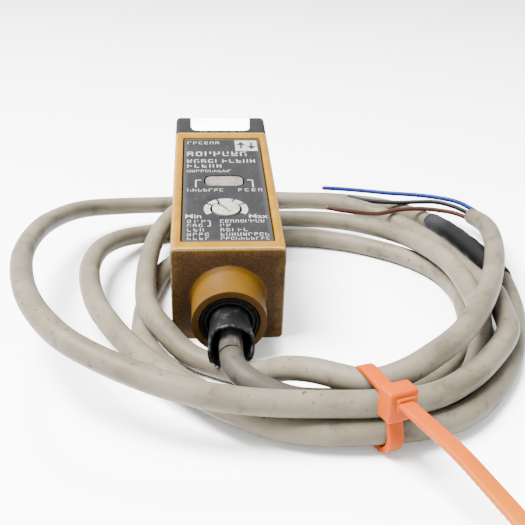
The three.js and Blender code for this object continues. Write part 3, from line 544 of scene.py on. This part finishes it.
def knob_recipe(wire):
    """Cream nylon, cut by screwdrivers and darker where it is sunk below its top, in its slot."""
    at = sensor_coords(wire)
    _, _, z = at.parts()
    cloud = at.noise(900.0, 4.0, 0.6)
    cuts = at.stretched((1, 0.15, 1), (0, 0, 0.7)).noise(4500.0, 2.0)
    sunk = z.rise(0.01915, 0.0188)
    base = cloud.rise(0.35, 0.7).blend((0.34, 0.325, 0.27), (0.20, 0.185, 0.15))
    base = (0.5 * cuts.rise(0.58, 0.68)).blend(base, (0.075, 0.068, 0.056))
    base = (0.75 * sunk).blend(base, (0.030, 0.026, 0.021))
    return {"Base Color": base, "Roughness": 0.4 + 0.2 * cloud, "Normal": (cloud - cuts).bump(0.00006, 0.7)}


def grainy_recipe(low, high, scale, rough, depth=0.00004):
    """An inner piece: two close colours in a grain of its own scale."""
    def recipe(wire):
        grain = object_coords(wire).noise(scale, 3.0, 0.6)
        return {"Base Color": grain.rise(0.35, 0.65).blend(low, high), "Roughness": rough + 0.15 * grain,
                "Normal": grain.bump(depth, 0.6)}
    return recipe


def floor_recipe(wire):
    """Glossy white table."""
    cloud = object_coords(wire).noise(6.0, 2.0)
    base = cloud.blend((0.90, 0.90, 0.905), (0.92, 0.92, 0.92))
    return {"Base Color": base, "Roughness": 0.07 + 0.03 * cloud}


INNER_FINISHES = {
    "black_rubber": ((0.012, 0.012, 0.013), (0.03, 0.03, 0.03), 2500.0, 0.6),
    "black_plastic": ((0.03, 0.03, 0.032), (0.07, 0.07, 0.07), 3000.0, 0.5),
    "black_epoxy": ((0.015, 0.015, 0.017), (0.04, 0.04, 0.042), 4000.0, 0.4),
    "green_laminate": ((0.02, 0.11, 0.04), (0.04, 0.17, 0.06), 1200.0, 0.35),
    "tin_plate": ((0.45, 0.46, 0.47), (0.62, 0.62, 0.62), 1500.0, 0.3),
    "zinc_screw": ((0.42, 0.42, 0.40), (0.60, 0.59, 0.56), 1800.0, 0.3),
    "red_lamp": ((0.45, 0.03, 0.02), (0.60, 0.06, 0.04), 700.0, 0.12),
    "green_lamp": ((0.03, 0.30, 0.06), (0.05, 0.42, 0.10), 700.0, 0.12),
    "clear_lens": ((0.60, 0.64, 0.67), (0.75, 0.78, 0.80), 500.0, 0.05),
    "grey_jacket": ((0.030, 0.028, 0.025), (0.075, 0.068, 0.058), 900.0, 0.5),
    "brown_jacket": ((0.12, 0.05, 0.02), (0.20, 0.09, 0.045), 1200.0, 0.4),
    "blue_jacket": ((0.02, 0.06, 0.28), (0.04, 0.10, 0.38), 1200.0, 0.4),
    "black_jacket": ((0.012, 0.012, 0.013), (0.03, 0.03, 0.03), 1200.0, 0.4),
}
METAL_SLOTS = ("tin_plate", "zinc_screw")


# ---------------------------------------------------------------- surfaces
def grid_faces(rows, cols, wrap_rows=False, wrap_cols=True):
    """Quads of a grid of rows by cols points, closed round the columns or rows where asked."""
    i = np.arange(rows if wrap_rows else rows - 1)
    j = np.arange(cols if wrap_cols else cols - 1)
    i, j = np.meshgrid(i, j, indexing="ij")
    i2, j2 = (i + 1) % rows, (j + 1) % cols
    return np.stack([i * cols + j, i * cols + j2, i2 * cols + j2, i2 * cols + j], -1).reshape(-1, 4)


def add_piece(name, verts, faces, finish, uv=None, smooth=True, body="sensor", hides=(), slot=None):
    """Puts points in metres and faces into a new object that rides on a body."""
    mesh = bpy.data.meshes.new(name)
    mesh.from_pydata(np.asarray(verts, float).reshape(-1, 3).tolist(), [], [list(f) for f in faces])
    if uv is not None:
        layer = mesh.uv_layers.new(name="along")
        layer.data.foreach_set("uv", np.asarray(uv, float).reshape(-1))
    mesh.polygons.foreach_set("use_smooth", [smooth] * len(mesh.polygons))
    mesh.materials.append(finish)
    mesh.update()
    return enter(bpy.data.objects.new(name, mesh), body, hides)


def enter(piece, body, hides):
    bpy.context.scene.collection.objects.link(piece)
    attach(piece, body)
    if hides:
        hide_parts(*hides)
    return piece


def smooth_line(points, spacing):
    """Centripetal Catmull-Rom curve through the points, then set out evenly along its length."""
    p = np.asarray(points, float)
    q = np.vstack([2 * p[0] - p[1], p, 2 * p[-1] - p[-2]])
    knots = np.r_[0, np.cumsum(np.linalg.norm(np.diff(q, axis=0), axis=1) ** 0.5)]
    t = np.linspace(knots[1], knots[-2], 40 * len(p))
    i = np.clip(np.searchsorted(knots, t, side="right") - 1, 1, len(q) - 3)

    def between(a, b, ta, tb):
        return ((tb - t) / (tb - ta))[:, None] * a + ((t - ta) / (tb - ta))[:, None] * b

    k0, k1, k2, k3 = (knots[i + step] for step in (-1, 0, 1, 2))
    a1 = between(q[i - 1], q[i], k0, k1)
    a2 = between(q[i], q[i + 1], k1, k2)
    a3 = between(q[i + 1], q[i + 2], k2, k3)
    line = between(between(a1, a2, k0, k2), between(a2, a3, k1, k3), k1, k2)
    run = np.r_[0, np.cumsum(np.linalg.norm(np.diff(line, axis=0), axis=1))]
    even = np.linspace(0, run[-1], max(4, int(round(run[-1] / spacing)) + 1))
    return np.stack([np.interp(even, run, line[:, k]) for k in range(3)], -1)


def run_length(line):
    return float(np.linalg.norm(np.diff(line, axis=0), axis=1).sum())


def sweep(line, section):
    """Carries a section of (side, up) offsets along a line. Its up stays square to the line and near +Z.

    section is (sections, points, 2) or one (points, 2) for the whole line."""
    line = np.asarray(line, float)
    ahead = np.gradient(line, axis=0)
    ahead /= np.linalg.norm(ahead, axis=1, keepdims=True)
    side = np.cross([0.0, 0.0, 1.0], ahead)
    side /= np.linalg.norm(side, axis=1, keepdims=True)
    up = np.cross(ahead, side)
    section = np.broadcast_to(section, (len(line), *np.shape(section)[-2:]))
    return line[:, None] + section[..., :1] * side[:, None] + section[..., 1:] * up[:, None]


def circle(count):
    turn = 2 * math.pi * np.arange(count) / count
    return np.stack([np.cos(turn), np.sin(turn)], -1)


def tube_piece(name, line, radius, finish, count=20, **rest):
    """A round tube with domed ends: rings of a radius that may vary, carried along a line.

    The UV map holds the turn round the tube and the metres along it."""
    radius = np.broadcast_to(radius, (len(line),))
    rings = sweep(line, radius[:, None, None] * circle(count))
    ends = [line[0], line[-1]]
    inner = [0.55 * (rings[k] - ends[k]) + ends[k] for k in (0, -1)]
    rings = np.concatenate([inner[0][None], rings, inner[1][None]])
    faces = grid_faces(len(rings), count).tolist()
    faces.append(list(range(count))[::-1])
    faces.append([(len(rings) - 1) * count + j for j in range(count)])
    run = np.r_[0, 0, np.cumsum(np.linalg.norm(np.diff(line, axis=0), axis=1)), 0]
    run[-1] = run[-2]
    i, j = np.meshgrid(np.arange(len(rings) - 1), np.arange(count), indexing="ij")
    corners = [(i, j), (i, j + 1), (i + 1, j + 1), (i + 1, j)]
    uv = np.stack([np.stack([b / count, run[a]], -1) for a, b in corners], -2).reshape(-1, 2)
    uv = np.vstack([uv, np.zeros((count, 2)), np.tile([[0.0, run[-1]]], (count, 1))])
    return add_piece(name, rings, faces, finish, uv=uv, **rest)


def rounded_box(size, round_by, steps=5):
    """Points and faces of a box with round edges about zero: each face's grid is drawn in to an inner
    box and pushed out again by the edge radius."""
    half = np.asarray(size, float) / 2
    inner = half - round_by
    bend = np.sin(np.linspace(0, math.pi / 2, steps + 1)) * round_by

    def ticks(axis):
        return np.r_[-inner[axis] - bend[::-1], inner[axis] + bend]

    verts, faces, base = [], [], 0
    for axis in range(3):
        u, v = (axis + 1) % 3, (axis + 2) % 3
        gu, gv = np.meshgrid(ticks(u), ticks(v), indexing="ij")
        for sign in (-1, 1):
            face = np.zeros((*gu.shape, 3))
            face[..., u], face[..., v], face[..., axis] = gu, gv, sign * half[axis]
            kept = np.clip(face, -inner, inner)
            away = face - kept
            away /= np.linalg.norm(away, axis=-1, keepdims=True)
            verts.append((kept + round_by * away).reshape(-1, 3))
            quads = grid_faces(*gu.shape, wrap_cols=False) + base
            faces.append(quads[:, ::-1] if sign > 0 else quads)
            base += gu.size
    return np.vstack(verts), np.vstack(faces)


def weld(piece, distance=0.00001):
    """Joins a piece's doubled points and turns its faces out."""
    edit = bmesh.new()
    edit.from_mesh(piece.data)
    bmesh.ops.remove_doubles(edit, verts=edit.verts, dist=distance)
    bmesh.ops.recalc_face_normals(edit, faces=edit.faces)
    edit.to_mesh(piece.data)
    edit.free()
    return piece


def finer(node, finish, round_by, body="sensor", angle=32.0):
    """A merged copy of a CAD node with smooth round faces and small rounded edges."""
    source = frame["nodes"][node]
    copy = bpy.data.objects.new("fine_" + node, source.data.copy())
    copy.data.materials.clear()
    copy.data.materials.append(finish)
    enter(copy, body, (node,))
    weld(copy, 0.000004)
    copy.data.polygons.foreach_set("use_smooth", [True] * len(copy.data.polygons))
    copy.data.set_sharp_from_angle(angle=math.radians(angle))
    if round_by:
        bevel = copy.modifiers.new("round", "BEVEL")
        bevel.width = round_by
        bevel.segments = 2
        bevel.limit_method = "ANGLE"
        bevel.angle_limit = math.radians(angle)
        bevel.harden_normals = True
        bevel.use_clamp_overlap = True
    return copy


# ---------------------------------------------------------------- pieces
def cable_line():
    return smooth_line(floor_row(np.array(CABLE_ROUTE) / MM), CABLE_STEP * MM)


def wavy(line, radius, share=0.012, pitch=0.035):
    """A radius that swells and narrows slightly along a line, as a drawn jacket does."""
    turn = np.linspace(0, run_length(line), len(line)) * 2 * math.pi
    return radius * (1 + share * np.sin(turn / pitch) * np.sin(turn / (2.7 * pitch)))


def build_cable():
    line = cable_line()
    finish = material("jacket", jacket_recipe)
    radius = wavy(line, look().cable_radius)
    cable = tube_piece("cable_jacket", line, radius, finish, hides=("cable",), slot="grey_jacket")
    return cable, line


def build_conductor(colour, route, paint):
    """One conductor: an insulated tube and the short copper end that stands out of it."""
    line = smooth_line(floor_row(np.array(route) / MM), WIRE_STEP * MM)
    finish = material(colour + "_insulation", wire_recipe(paint))
    hides = ("conductor_" + colour,)
    cord = tube_piece("wire_" + colour, line, WIRE_R * MM, finish, 12, hides=hides, slot=colour + "_jacket")
    copper = material(colour + "_copper", copper_recipe, Metallic=0.8)
    step = line[-1] - line[-2]
    core_line = np.vstack([line[-1] - step, line[-1] + COPPER_OUT * step])
    core = tube_piece("core_" + colour, core_line, COPPER_R * MM, copper, 10)
    return cord, core, line


def closed_outline(circles, margin, count=160):
    """Convex outline round circles (x, y, radius), from their support: at each turn, the circle that
    reaches furthest sets the edge, and the outline is set out evenly."""
    turn = 2 * math.pi * np.arange(720) / 720
    out = np.stack([np.cos(turn), np.sin(turn)], -1)
    c = np.array(circles, float)
    reach = out @ c[:, :2].T + c[:, 2] + margin
    best = reach.argmax(1)
    points = c[best, :2] + out * (c[best, 2] + margin)[:, None]
    ring = np.vstack([points, points[:1]])
    run = np.r_[0, np.cumsum(np.linalg.norm(np.diff(ring, axis=0), axis=1))]
    even = np.linspace(0, run[-1], count, endpoint=False)
    return np.stack([np.interp(even, run, ring[:, k]) for k in range(2)], -1)


def strap_section(width, thick, round_by=0.3, steps=3):
    """A strap's section about zero, width by thickness with round corners."""
    arc = np.linspace(0, math.pi / 2, steps + 1)
    half = np.array([width / 2 - round_by, thick / 2 - round_by])
    corners = []
    for k, (sx, sy) in enumerate([(1, 1), (-1, 1), (-1, -1), (1, -1)]):
        turn = arc + k * math.pi / 2
        corners.append(np.stack([np.cos(turn), np.sin(turn)], -1) * round_by + half * (sx, sy))
    return np.vstack(corners)


def tie_place(points):
    """Tie-frame millimetres, turned about Z and moved to the bundle, as row-frame metres."""
    p = np.asarray(points, float)
    c, s = math.cos(TIE_TURN), math.sin(TIE_TURN)
    spun = np.stack([c * p[..., 0] - s * p[..., 1], s * p[..., 0] + c * p[..., 1], p[..., 2]], -1)
    return floor_row(spun + [TIE_X, BUNDLE[1][0], 0])


def capped(rings):
    """Faces of a swept grid of rings with both ends closed."""
    rows, cols = rings.shape[:2]
    faces = grid_faces(rows, cols).tolist()
    return faces + [list(range(cols))[::-1], [(rows - 1) * cols + j for j in range(cols)]]


def build_tie():
    """The tie's strap round the bundle, its head and mouth, and the toothed tail."""
    finish = material("tie_nylon", tie_recipe, darker=0.17, Specular_IOR_Level=0.05)
    middle = BUNDLE[1][0]
    stretch = 1 / math.cos(TIE_TURN)
    strands = [((y - middle) * stretch, z, room) for y, z, room in BUNDLE]
    ring = closed_outline(strands, TIE_T / 2)
    ahead = np.roll(ring, -1, 0) - np.roll(ring, 1, 0)
    ahead /= np.linalg.norm(ahead, axis=1, keepdims=True)
    out = np.stack([ahead[:, 1], -ahead[:, 0]], -1)
    section = strap_section(TIE_W, TIE_T)
    flat = ring[:, None] + section[None, :, 1:] * out[:, None]
    width = np.broadcast_to(section[None, :, :1], (*flat.shape[:2], 1))
    loop = np.concatenate([width, flat], -1)
    faces = grid_faces(*loop.shape[:2], wrap_rows=True)
    strap = add_piece("tie_strap", tie_place(loop), faces, finish, hides=("cable_tie",), slot="orange_nylon")
    weld(strap)
    front = ring[:, 0].min() - TIE_T / 2
    head_z = BUNDLE[3][1] + HEAD_LIFT
    verts, quads = rounded_box(HEAD_SIZE, 0.55)
    placed = tie_place(verts + [-0.6, front - 0.1, head_z])
    head = add_piece("tie_head", placed, quads, finish, slot="orange_nylon")
    weld(head)
    verts, quads = rounded_box(MOUTH_SIZE, 0.28)
    placed = tie_place(verts + [-0.3, front - 1.6, head_z + TAIL_LIFT])
    mouth = add_piece("tie_mouth", placed, quads, finish, slot="orange_nylon")
    weld(mouth)
    reach = np.array([0.0, 12, 24, 34, TAIL_L])
    drop = np.array([0, -0.4, -2.6, -5.2, -7.4])
    along = np.linspace(0, TAIL_L, 170)
    bend = np.interp(along, reach, drop)
    kernel = np.ones(25) / 25
    bend = np.convolve(np.pad(bend, 12, mode="edge"), kernel, mode="valid")
    turn = TAIL_TURN - TIE_TURN
    line = np.stack([along * math.sin(turn), -along * math.cos(turn), bend], -1)
    line += [-0.6, front - 1.5, head_z + TAIL_LIFT]
    teeth = 0.10 * (np.abs((along / 0.9) % 1 - 0.5) * 2) * (along < TOOTHED_L)
    taper = np.clip((TAIL_L - along) / 4, 0.45, 1)
    wide = section[None, :, :1] * taper[:, None, None]
    thick = section[None, :, 1:] * np.where(along < 38, 1.0, 0.8)[:, None, None]
    thick = thick - np.where(section[None, :, 1:] < 0, -teeth[:, None, None], 0)
    rings = sweep(line, np.concatenate([wide, thick], -1))
    tail = add_piece("tie_tail", tie_place(rings), capped(rings), finish, slot="orange_nylon")
    return [strap, head, mouth, weld(tail)]


def build_boot(finish):
    """Torn rubber boot: a wall carried round the axis, its lip height a sum of waves of the turn, open
    underneath; the profile runs out along the outside, over the lip and back inside."""
    count = 96
    turn = 2 * math.pi * np.arange(count) / count
    left = np.exp(-((turn - math.radians(208)) / 0.80) ** 4)
    right = np.exp(-((turn - math.radians(322)) / 0.55) ** 4)
    under = np.exp(-((turn - math.radians(276)) / 0.20) ** 2)
    rip = 0.14 * np.sin(9 * turn) * np.sin(2 * turn + 0.6) + 0.08 * np.sin(23 * turn)
    length = 5.9 + 2.2 * left + 1.5 * right - 4.6 * under + rip
    length = np.clip(length, 2.0, 8.45)
    steps = np.linspace(0, 1, 22)
    flare = 3.35 + 0.13 * np.sin(steps * 9) * (1 - steps) + 0.55 * steps ** 2
    outer_y = -BOSS_L + 6.0 - steps[:, None] * (length[None] + 6.0)
    inner_y = outer_y[::-1][:-2] + 0.10
    wall = 0.6
    profile = np.concatenate([flare, flare[::-1][:-2] - wall])
    radius = np.tile(profile[:, None], (1, count))
    radius[-3:] = 2.45
    y = np.concatenate([outer_y, inner_y])
    dent = 1 + 0.015 * np.sin(3 * turn + 1.1)
    rings = np.stack([radius * np.cos(turn) * dent, y, BOSS_Z + radius * np.sin(turn) * dent], -1)
    faces = grid_faces(len(rings), count, wrap_rows=True)
    placed = sensor_row(rings)
    boot = add_piece("boot_torn", placed, faces, finish, hides=("cable_boot",), slot="black_rubber")
    return weld(boot)


def prisms(rects, low, high):
    """Closed flat blocks from rows of (x0, x1, y0, y1), between two heights."""
    r = np.asarray(rects, float)
    x = r[:, [0, 1, 1, 0]]
    y = r[:, [2, 2, 3, 3]]
    floor = np.stack([x, y, np.full_like(x, low)], -1)
    roof = np.stack([x, y, np.full_like(x, high)], -1)
    verts = np.concatenate([floor, roof], 1)
    block = np.array([[3, 2, 1, 0], [4, 5, 6, 7], [0, 1, 5, 4], [1, 2, 6, 5], [2, 3, 7, 6], [3, 0, 4, 7]])
    faces = block[None] + 8 * np.arange(len(r))[:, None, None]
    return verts.reshape(-1, 3), faces.reshape(-1, 4)


def mark_row(x0, x1, y, height, seed, pen=0.17):
    """A row of plain made-up marks: each has its left stroke and some of five others, in a fixed order."""
    wide = 0.62 * height
    step = wide * 1.34
    count = max(1, int((x1 - x0) / step))
    pen = pen * height
    low, mid, top = y - height / 2, y, y + height / 2
    rects = []
    for k in range(count):
        a = x0 + k * (x1 - x0 - wide) / max(1, count - 1)
        b = a + wide
        strokes = [
            (a, a + pen, low, top), (b - pen, b, low, mid), (b - pen, b, mid, top),
            (a, b, top - pen, top), (a, b, mid - pen / 2, mid + pen / 2), (a, b, low, low + pen),
        ]
        pick = (k * 37 + seed * 11) % 29
        rects += [s for n, s in enumerate(strokes) if n == 0 or (pick >> (n - 1)) & 1]
    return rects


def arc_block(start, end, inner, outer, low, high, steps=14):
    """Closed ring segment about the adjuster's axis: a four-point section carried round an arc."""
    turn = np.radians(np.linspace(start, end, steps))
    radius = np.array([inner, outer, outer, inner])
    height = np.array([low, low, high, high])
    x = radius[None] * np.sin(turn)[:, None]
    y = KNOB_AT[1] + radius[None] * np.cos(turn)[:, None]
    rings = np.stack([x, y, np.broadcast_to(height, x.shape)], -1)
    return rings


PRINT_LOW = PLATE_TOP + 0.004
PRINT_HIGH = PLATE_TOP + 0.030
PRINT_WELD = 0.0000005
BADGE_AT = (5.15, 42.5)


def print_piece(name, verts, faces, finish):
    piece = add_piece(name, sensor_row(verts), faces, finish, smooth=False, slot="charcoal_plate")
    return weld(piece, PRINT_WELD)


def word(name, text, x, y, size, finish):
    """A short dial word as a flat raised print, its middle at x and y."""
    curve = bpy.data.curves.new(name, "FONT")
    curve.body = text
    curve.size = size
    curve.align_x = "CENTER"
    curve.align_y = "CENTER"
    curve.offset = 0.004 * size
    curve.extrude = (PRINT_HIGH - PRINT_LOW) / 2
    curve.resolution_u = 3
    holder = bpy.data.objects.new(name, curve)
    bpy.context.scene.collection.objects.link(holder)
    bpy.context.view_layer.update()
    mesh = bpy.data.meshes.new_from_object(holder.evaluated_get(bpy.context.evaluated_depsgraph_get()))
    bpy.data.objects.remove(holder)
    flat = np.zeros(len(mesh.vertices) * 3, np.float32)
    mesh.vertices.foreach_get("co", flat)
    placed = sensor_row(flat.reshape(-1, 3) + [x, y, (PRINT_LOW + PRINT_HIGH) / 2])
    mesh.vertices.foreach_set("co", placed.astype(np.float32).reshape(-1))
    mesh.materials.clear()
    mesh.materials.append(finish)
    mesh.update()
    piece = enter(bpy.data.objects.new(name, mesh), "sensor", ())
    return weld(piece, PRINT_WELD)


def build_print():
    """The plate's print: dial segments, dial words, brackets, an arrow badge and rows of marks."""
    ink = material("print_ink", ink_recipe, darker=0.34)
    dark = material("print_dark", dark_ink_recipe)
    rows = []
    for n, (x0, x1, y, height) in enumerate([
        (-7.3, -0.6, 43.9, 1.3), (-7.4, 5.0, 38.4, 2.1), (-7.35, 6.6, 34.9, 1.6), (-7.3, -0.4, 32.6, 1.5),
        (-7.3, 1.5, 30.3, 1.05), (-7.2, -0.3, 22.0, 1.15), (2.6, 7.2, 22.0, 1.15),
        (-7.1, -3.9, 9.8, 1.05), (-7.1, -4.4, 8.3, 1.05), (-7.1, -4.2, 6.7, 1.05), (-7.1, -3.3, 5.1, 1.05),
        (-7.1, -3.3, 3.7, 0.95), (-1.2, 6.8, 9.8, 1.05), (-1.2, 0.6, 8.3, 1.05), (-1.2, 3.6, 6.7, 1.05),
        (-1.2, 7.3, 5.1, 1.05), (-1.2, 7.3, 3.7, 0.95),
    ]):
        rows += mark_row(x0, x1, y, height, n + 3, 0.15 if height > 1.3 else 0.13)
    pen = 0.28
    for side in (-1, 1):
        rows.append(tuple(sorted((side * 4.5, side * 5.7))) + (26.2 - pen / 2, 26.2 + pen / 2))
        rows.append(tuple(sorted((side * 5.7, side * (5.7 - pen)))) + (23.1, 26.3))
    rows += [(-3.5, -2.9, 9.9, 10.1), (-3.1, -2.9, 7.9, 10.1), (-3.5, -2.9, 7.9, 8.1)]
    pieces = [print_piece("print_rows", *prisms(rows, PRINT_LOW, PRINT_HIGH), ink)]
    for n, (start, end) in enumerate([(-119, -62), (-55, -27), (-21, 21), (27, 55), (62, 119)]):
        rings = arc_block(start, end, 3.0, 4.1, PRINT_LOW, PRINT_HIGH)
        pieces.append(print_piece(f"print_dial_{n + 1}", rings, capped(rings), ink))
    pieces.append(word("print_min", "Min", -6.05, 11.6, 2.1, ink))
    pieces.append(word("print_max", "Max", 5.75, 11.5, 2.1, ink))
    verts, faces = rounded_box((4.7, 5.3, 0.04), 0.018, 3)
    badge_at = sensor_row(verts + [*BADGE_AT, PLATE_TOP + 0.024])
    badge = add_piece("print_badge", badge_at, faces, ink, smooth=False, slot="charcoal_plate")
    pieces.append(weld(badge, PRINT_WELD))
    marks, tips = [], []
    for side, up in ((-1, 1), (1, -1)):
        x, y = BADGE_AT[0] + side * 1.1, BADGE_AT[1]
        marks.append((x - 0.25, x + 0.25, y - 1.5, y + 1.5))
        wings = np.linspace(0, 1, 9)[:-1]
        for w in wings:
            half = 0.95 * (1 - w)
            edges = sorted((y + up * (0.2 + 1.5 * w), y + up * (0.2 + 1.5 * (w + 0.14))))
            tips.append((x - half, x + half, *edges))
    top = PLATE_TOP + 0.046
    pieces.append(print_piece("print_arrows", *prisms(marks + tips, top, top + 0.02), dark))
    return pieces


# ---------------------------------------------------------------- operators
class SENSOR_OT_stage(bpy.types.Operator):
    """Adds the camera, the table and the studio light"""
    bl_idname = "sensor.stage"
    bl_label = "Stage"

    def execute(self, context):
        scene = context.scene
        camera = bpy.data.cameras.new("camera")
        camera.sensor_width = 36.0
        camera.lens = 56.94
        camera.clip_start = 0.01
        holder = bpy.data.objects.new("camera", camera)
        right = np.array([0.9972, -0.0720, 0.0184])
        ahead = np.array([0.0735, 0.9189, -0.3877])
        right -= ahead * (right @ ahead) / (ahead @ ahead)
        right /= np.linalg.norm(right)
        ahead /= np.linalg.norm(ahead)
        up = np.cross(right, ahead)
        place = Matrix(np.stack([right, up, -ahead], 1).tolist()).to_4x4()
        place.translation = floor_row([-4.67, -134.55, 71.71]).tolist()
        holder.matrix_world = place
        scene.collection.objects.link(holder)
        scene.camera = holder
        half = 2.5
        corners = [(-half, -half, 0), (half, -half, 0), (half, half, 0), (-half, half, 0)]
        mesh = bpy.data.meshes.new("table")
        mesh.from_pydata(corners, [], [(0, 1, 2, 3)])
        white = material("table_white", floor_recipe, darker=1.0, Metallic=0.3, Specular_IOR_Level=0.5)
        mesh.materials.append(white)
        table = bpy.data.objects.new("table", mesh)
        scene.collection.objects.link(table)
        world = bpy.data.worlds.new("studio")
        world.use_nodes = True
        background = world.node_tree.nodes["Background"]
        background.inputs["Color"].default_value = (1.0, 1.0, 1.0, 1.0)
        background.inputs["Strength"].default_value = 2.2
        scene.world = world
        for name, at, aim, size, power in [
            ("overhead", (-0.42, -0.10, 0.95), (0, 0.05, 0), 0.55, 150.0),
            ("key", (-0.35, 0.10, 0.55), (0, 0.02, 0), 0.22, 12.0),
            ("front", (0.12, -0.75, 0.30), (0, 0, 0.01), 0.50, 9.0),
        ]:
            light = bpy.data.lights.new(name, "AREA")
            light.shape = "SQUARE"
            light.size = size
            light.energy = power
            lamp = bpy.data.objects.new(name, light)
            lamp.matrix_world = aimed(at, aim)
            scene.collection.objects.link(lamp)
        return {"FINISHED"}


def aimed(at, aim):
    """A lamp's placing: at a point, with its -Z towards the aim."""
    away = np.array(at, float) - np.array(aim, float)
    away /= np.linalg.norm(away)
    side = np.cross([0, 0, 1], away)
    side /= np.linalg.norm(side)
    place = Matrix(np.stack([side, np.cross(away, side), away], 1).tolist()).to_4x4()
    place.translation = at
    return place


class SENSOR_OT_cords(bpy.types.Operator):
    """Lays the cable, its sleeve, its tie and its three bare conductors"""
    bl_idname = "sensor.cords"
    bl_label = "Cable and conductors"

    def execute(self, context):
        cable, line = build_cable()
        first, last = (int(share * len(line)) for share in SLEEVE_SPAN)
        sleeve_line = line[first:last + 1]
        run = np.linspace(0, 1, len(sleeve_line))
        radius = look().sleeve_radius * (1 + 0.02 * np.sin(run * 40) - 0.06 * (np.abs(run - 0.5) > 0.485))
        finish = material("sleeve", sleeve_recipe)
        sleeve = tube_piece("sleeve_shrunk", sleeve_line, radius, finish, 24,
                            hides=("splice_sleeve",), slot="black_rubber")
        tie = build_tie()
        for colour, route, paint in [
            ("blue", BLUE_ROUTE, (0.002, 0.012, 0.16)), ("black", BLACK_ROUTE, (0.005, 0.005, 0.006)),
            ("brown", BROWN_ROUTE, (0.060, 0.022, 0.010)),
        ]:
            cord, core, path = build_conductor(colour, route, paint)
        return {"FINISHED"}


class SENSOR_OT_housing(bpy.types.Operator):
    """Finishes the painted housing, the gland and the boot"""
    bl_idname = "sensor.housing"
    bl_label = "Housing and cable entry"

    def execute(self, context):
        finer("housing", material("ochre_enamel", paint_recipe), look().edge_round)
        finer("gland_bush", material("gland_rubber", gland_recipe), 0.00006)
        build_boot(material("boot_rubber", rubber_recipe, Specular_IOR_Level=0.12))
        return {"FINISHED"}


class SENSOR_OT_plate(bpy.types.Operator):
    """Finishes the label plate, its print, the indicator cover and the adjuster"""
    bl_idname = "sensor.plate"
    bl_label = "Plate and controls"

    def execute(self, context):
        plate = material("plate_charcoal", plate_recipe, darker=0.5, Specular_IOR_Level=0.02)
        finer("label_plate", plate, 0.00006)
        finer("indicator_window", material("indicator_smoke", smoke_recipe, darker=0.45), 0.00015)
        knob = material("adjuster_nylon", knob_recipe, darker=0.45)
        finer("sensitivity_adjuster", knob, 0.00012, body="adjuster")
        build_print()
        return {"FINISHED"}


class SENSOR_OT_head(bpy.types.Operator):
    """Finishes the lens head and its light window"""
    bl_idname = "sensor.head"
    bl_label = "Lens head"

    def execute(self, context):
        finer("lens_head", material("head_plastic", head_recipe, darker=0.16), look().edge_round)
        finer("light_window", material("window_milky_painted_reflection", window_recipe, darker=0.9, Coat_Weight=0.6), 0.00018)
        return {"FINISHED"}


class SENSOR_OT_inner(bpy.types.Operator):
    """Gives each inner piece a finish of its record's slot"""
    bl_idname = "sensor.inner"
    bl_label = "Inner pieces"

    def execute(self, context):
        slots = {entry["node"]: entry["material_slot"] for entry in frame["record"]["subparts"]}
        made = {}
        for name, node in frame["nodes"].items():
            if node.hide_render:
                continue
            slot = slots[name]
            if slot not in INNER_FINISHES:
                raise RuntimeError(f"no finish for the slot {slot} of {name}")
            if slot not in made:
                low, high, scale, rough = INNER_FINISHES[slot]
                metal = 0.9 if slot in METAL_SLOTS else 0.0
                made[slot] = material("inner_" + slot, grainy_recipe(low, high, scale, rough), Metallic=metal)
            node.data.materials.clear()
            node.data.materials.append(made[slot])
        return {"FINISHED"}


class SENSOR_PT_panel(bpy.types.Panel):
    """Lists the sensor's pieces and settings"""
    bl_idname = "SENSOR_PT_panel"
    bl_label = "Photoelectric sensor"
    bl_space_type = "VIEW_3D"
    bl_region_type = "UI"
    bl_category = "Sensor"

    def draw(self, context):
        for key in SensorLook.__annotations__:
            self.layout.prop(context.scene.sensor_look, key)
        for operator in OPERATORS:
            self.layout.operator(operator.bl_idname)


OPERATORS = (
    SENSOR_OT_stage, SENSOR_OT_cords, SENSOR_OT_housing, SENSOR_OT_plate, SENSOR_OT_head, SENSOR_OT_inner,
)
CLASSES = (SensorLook, *OPERATORS, SENSOR_PT_panel)


def register():
    for cls in CLASSES:
        bpy.utils.register_class(cls)
    bpy.types.Scene.sensor_look = bpy.props.PointerProperty(type=SensorLook)


def unregister():
    del bpy.types.Scene.sensor_look
    for cls in reversed(CLASSES):
        bpy.utils.unregister_class(cls)


def main():
    register()
    for operator in OPERATORS:
        group, name = operator.bl_idname.split(".")
        getattr(getattr(bpy.ops, group), name)()


if __name__ == "__main__":
    main()
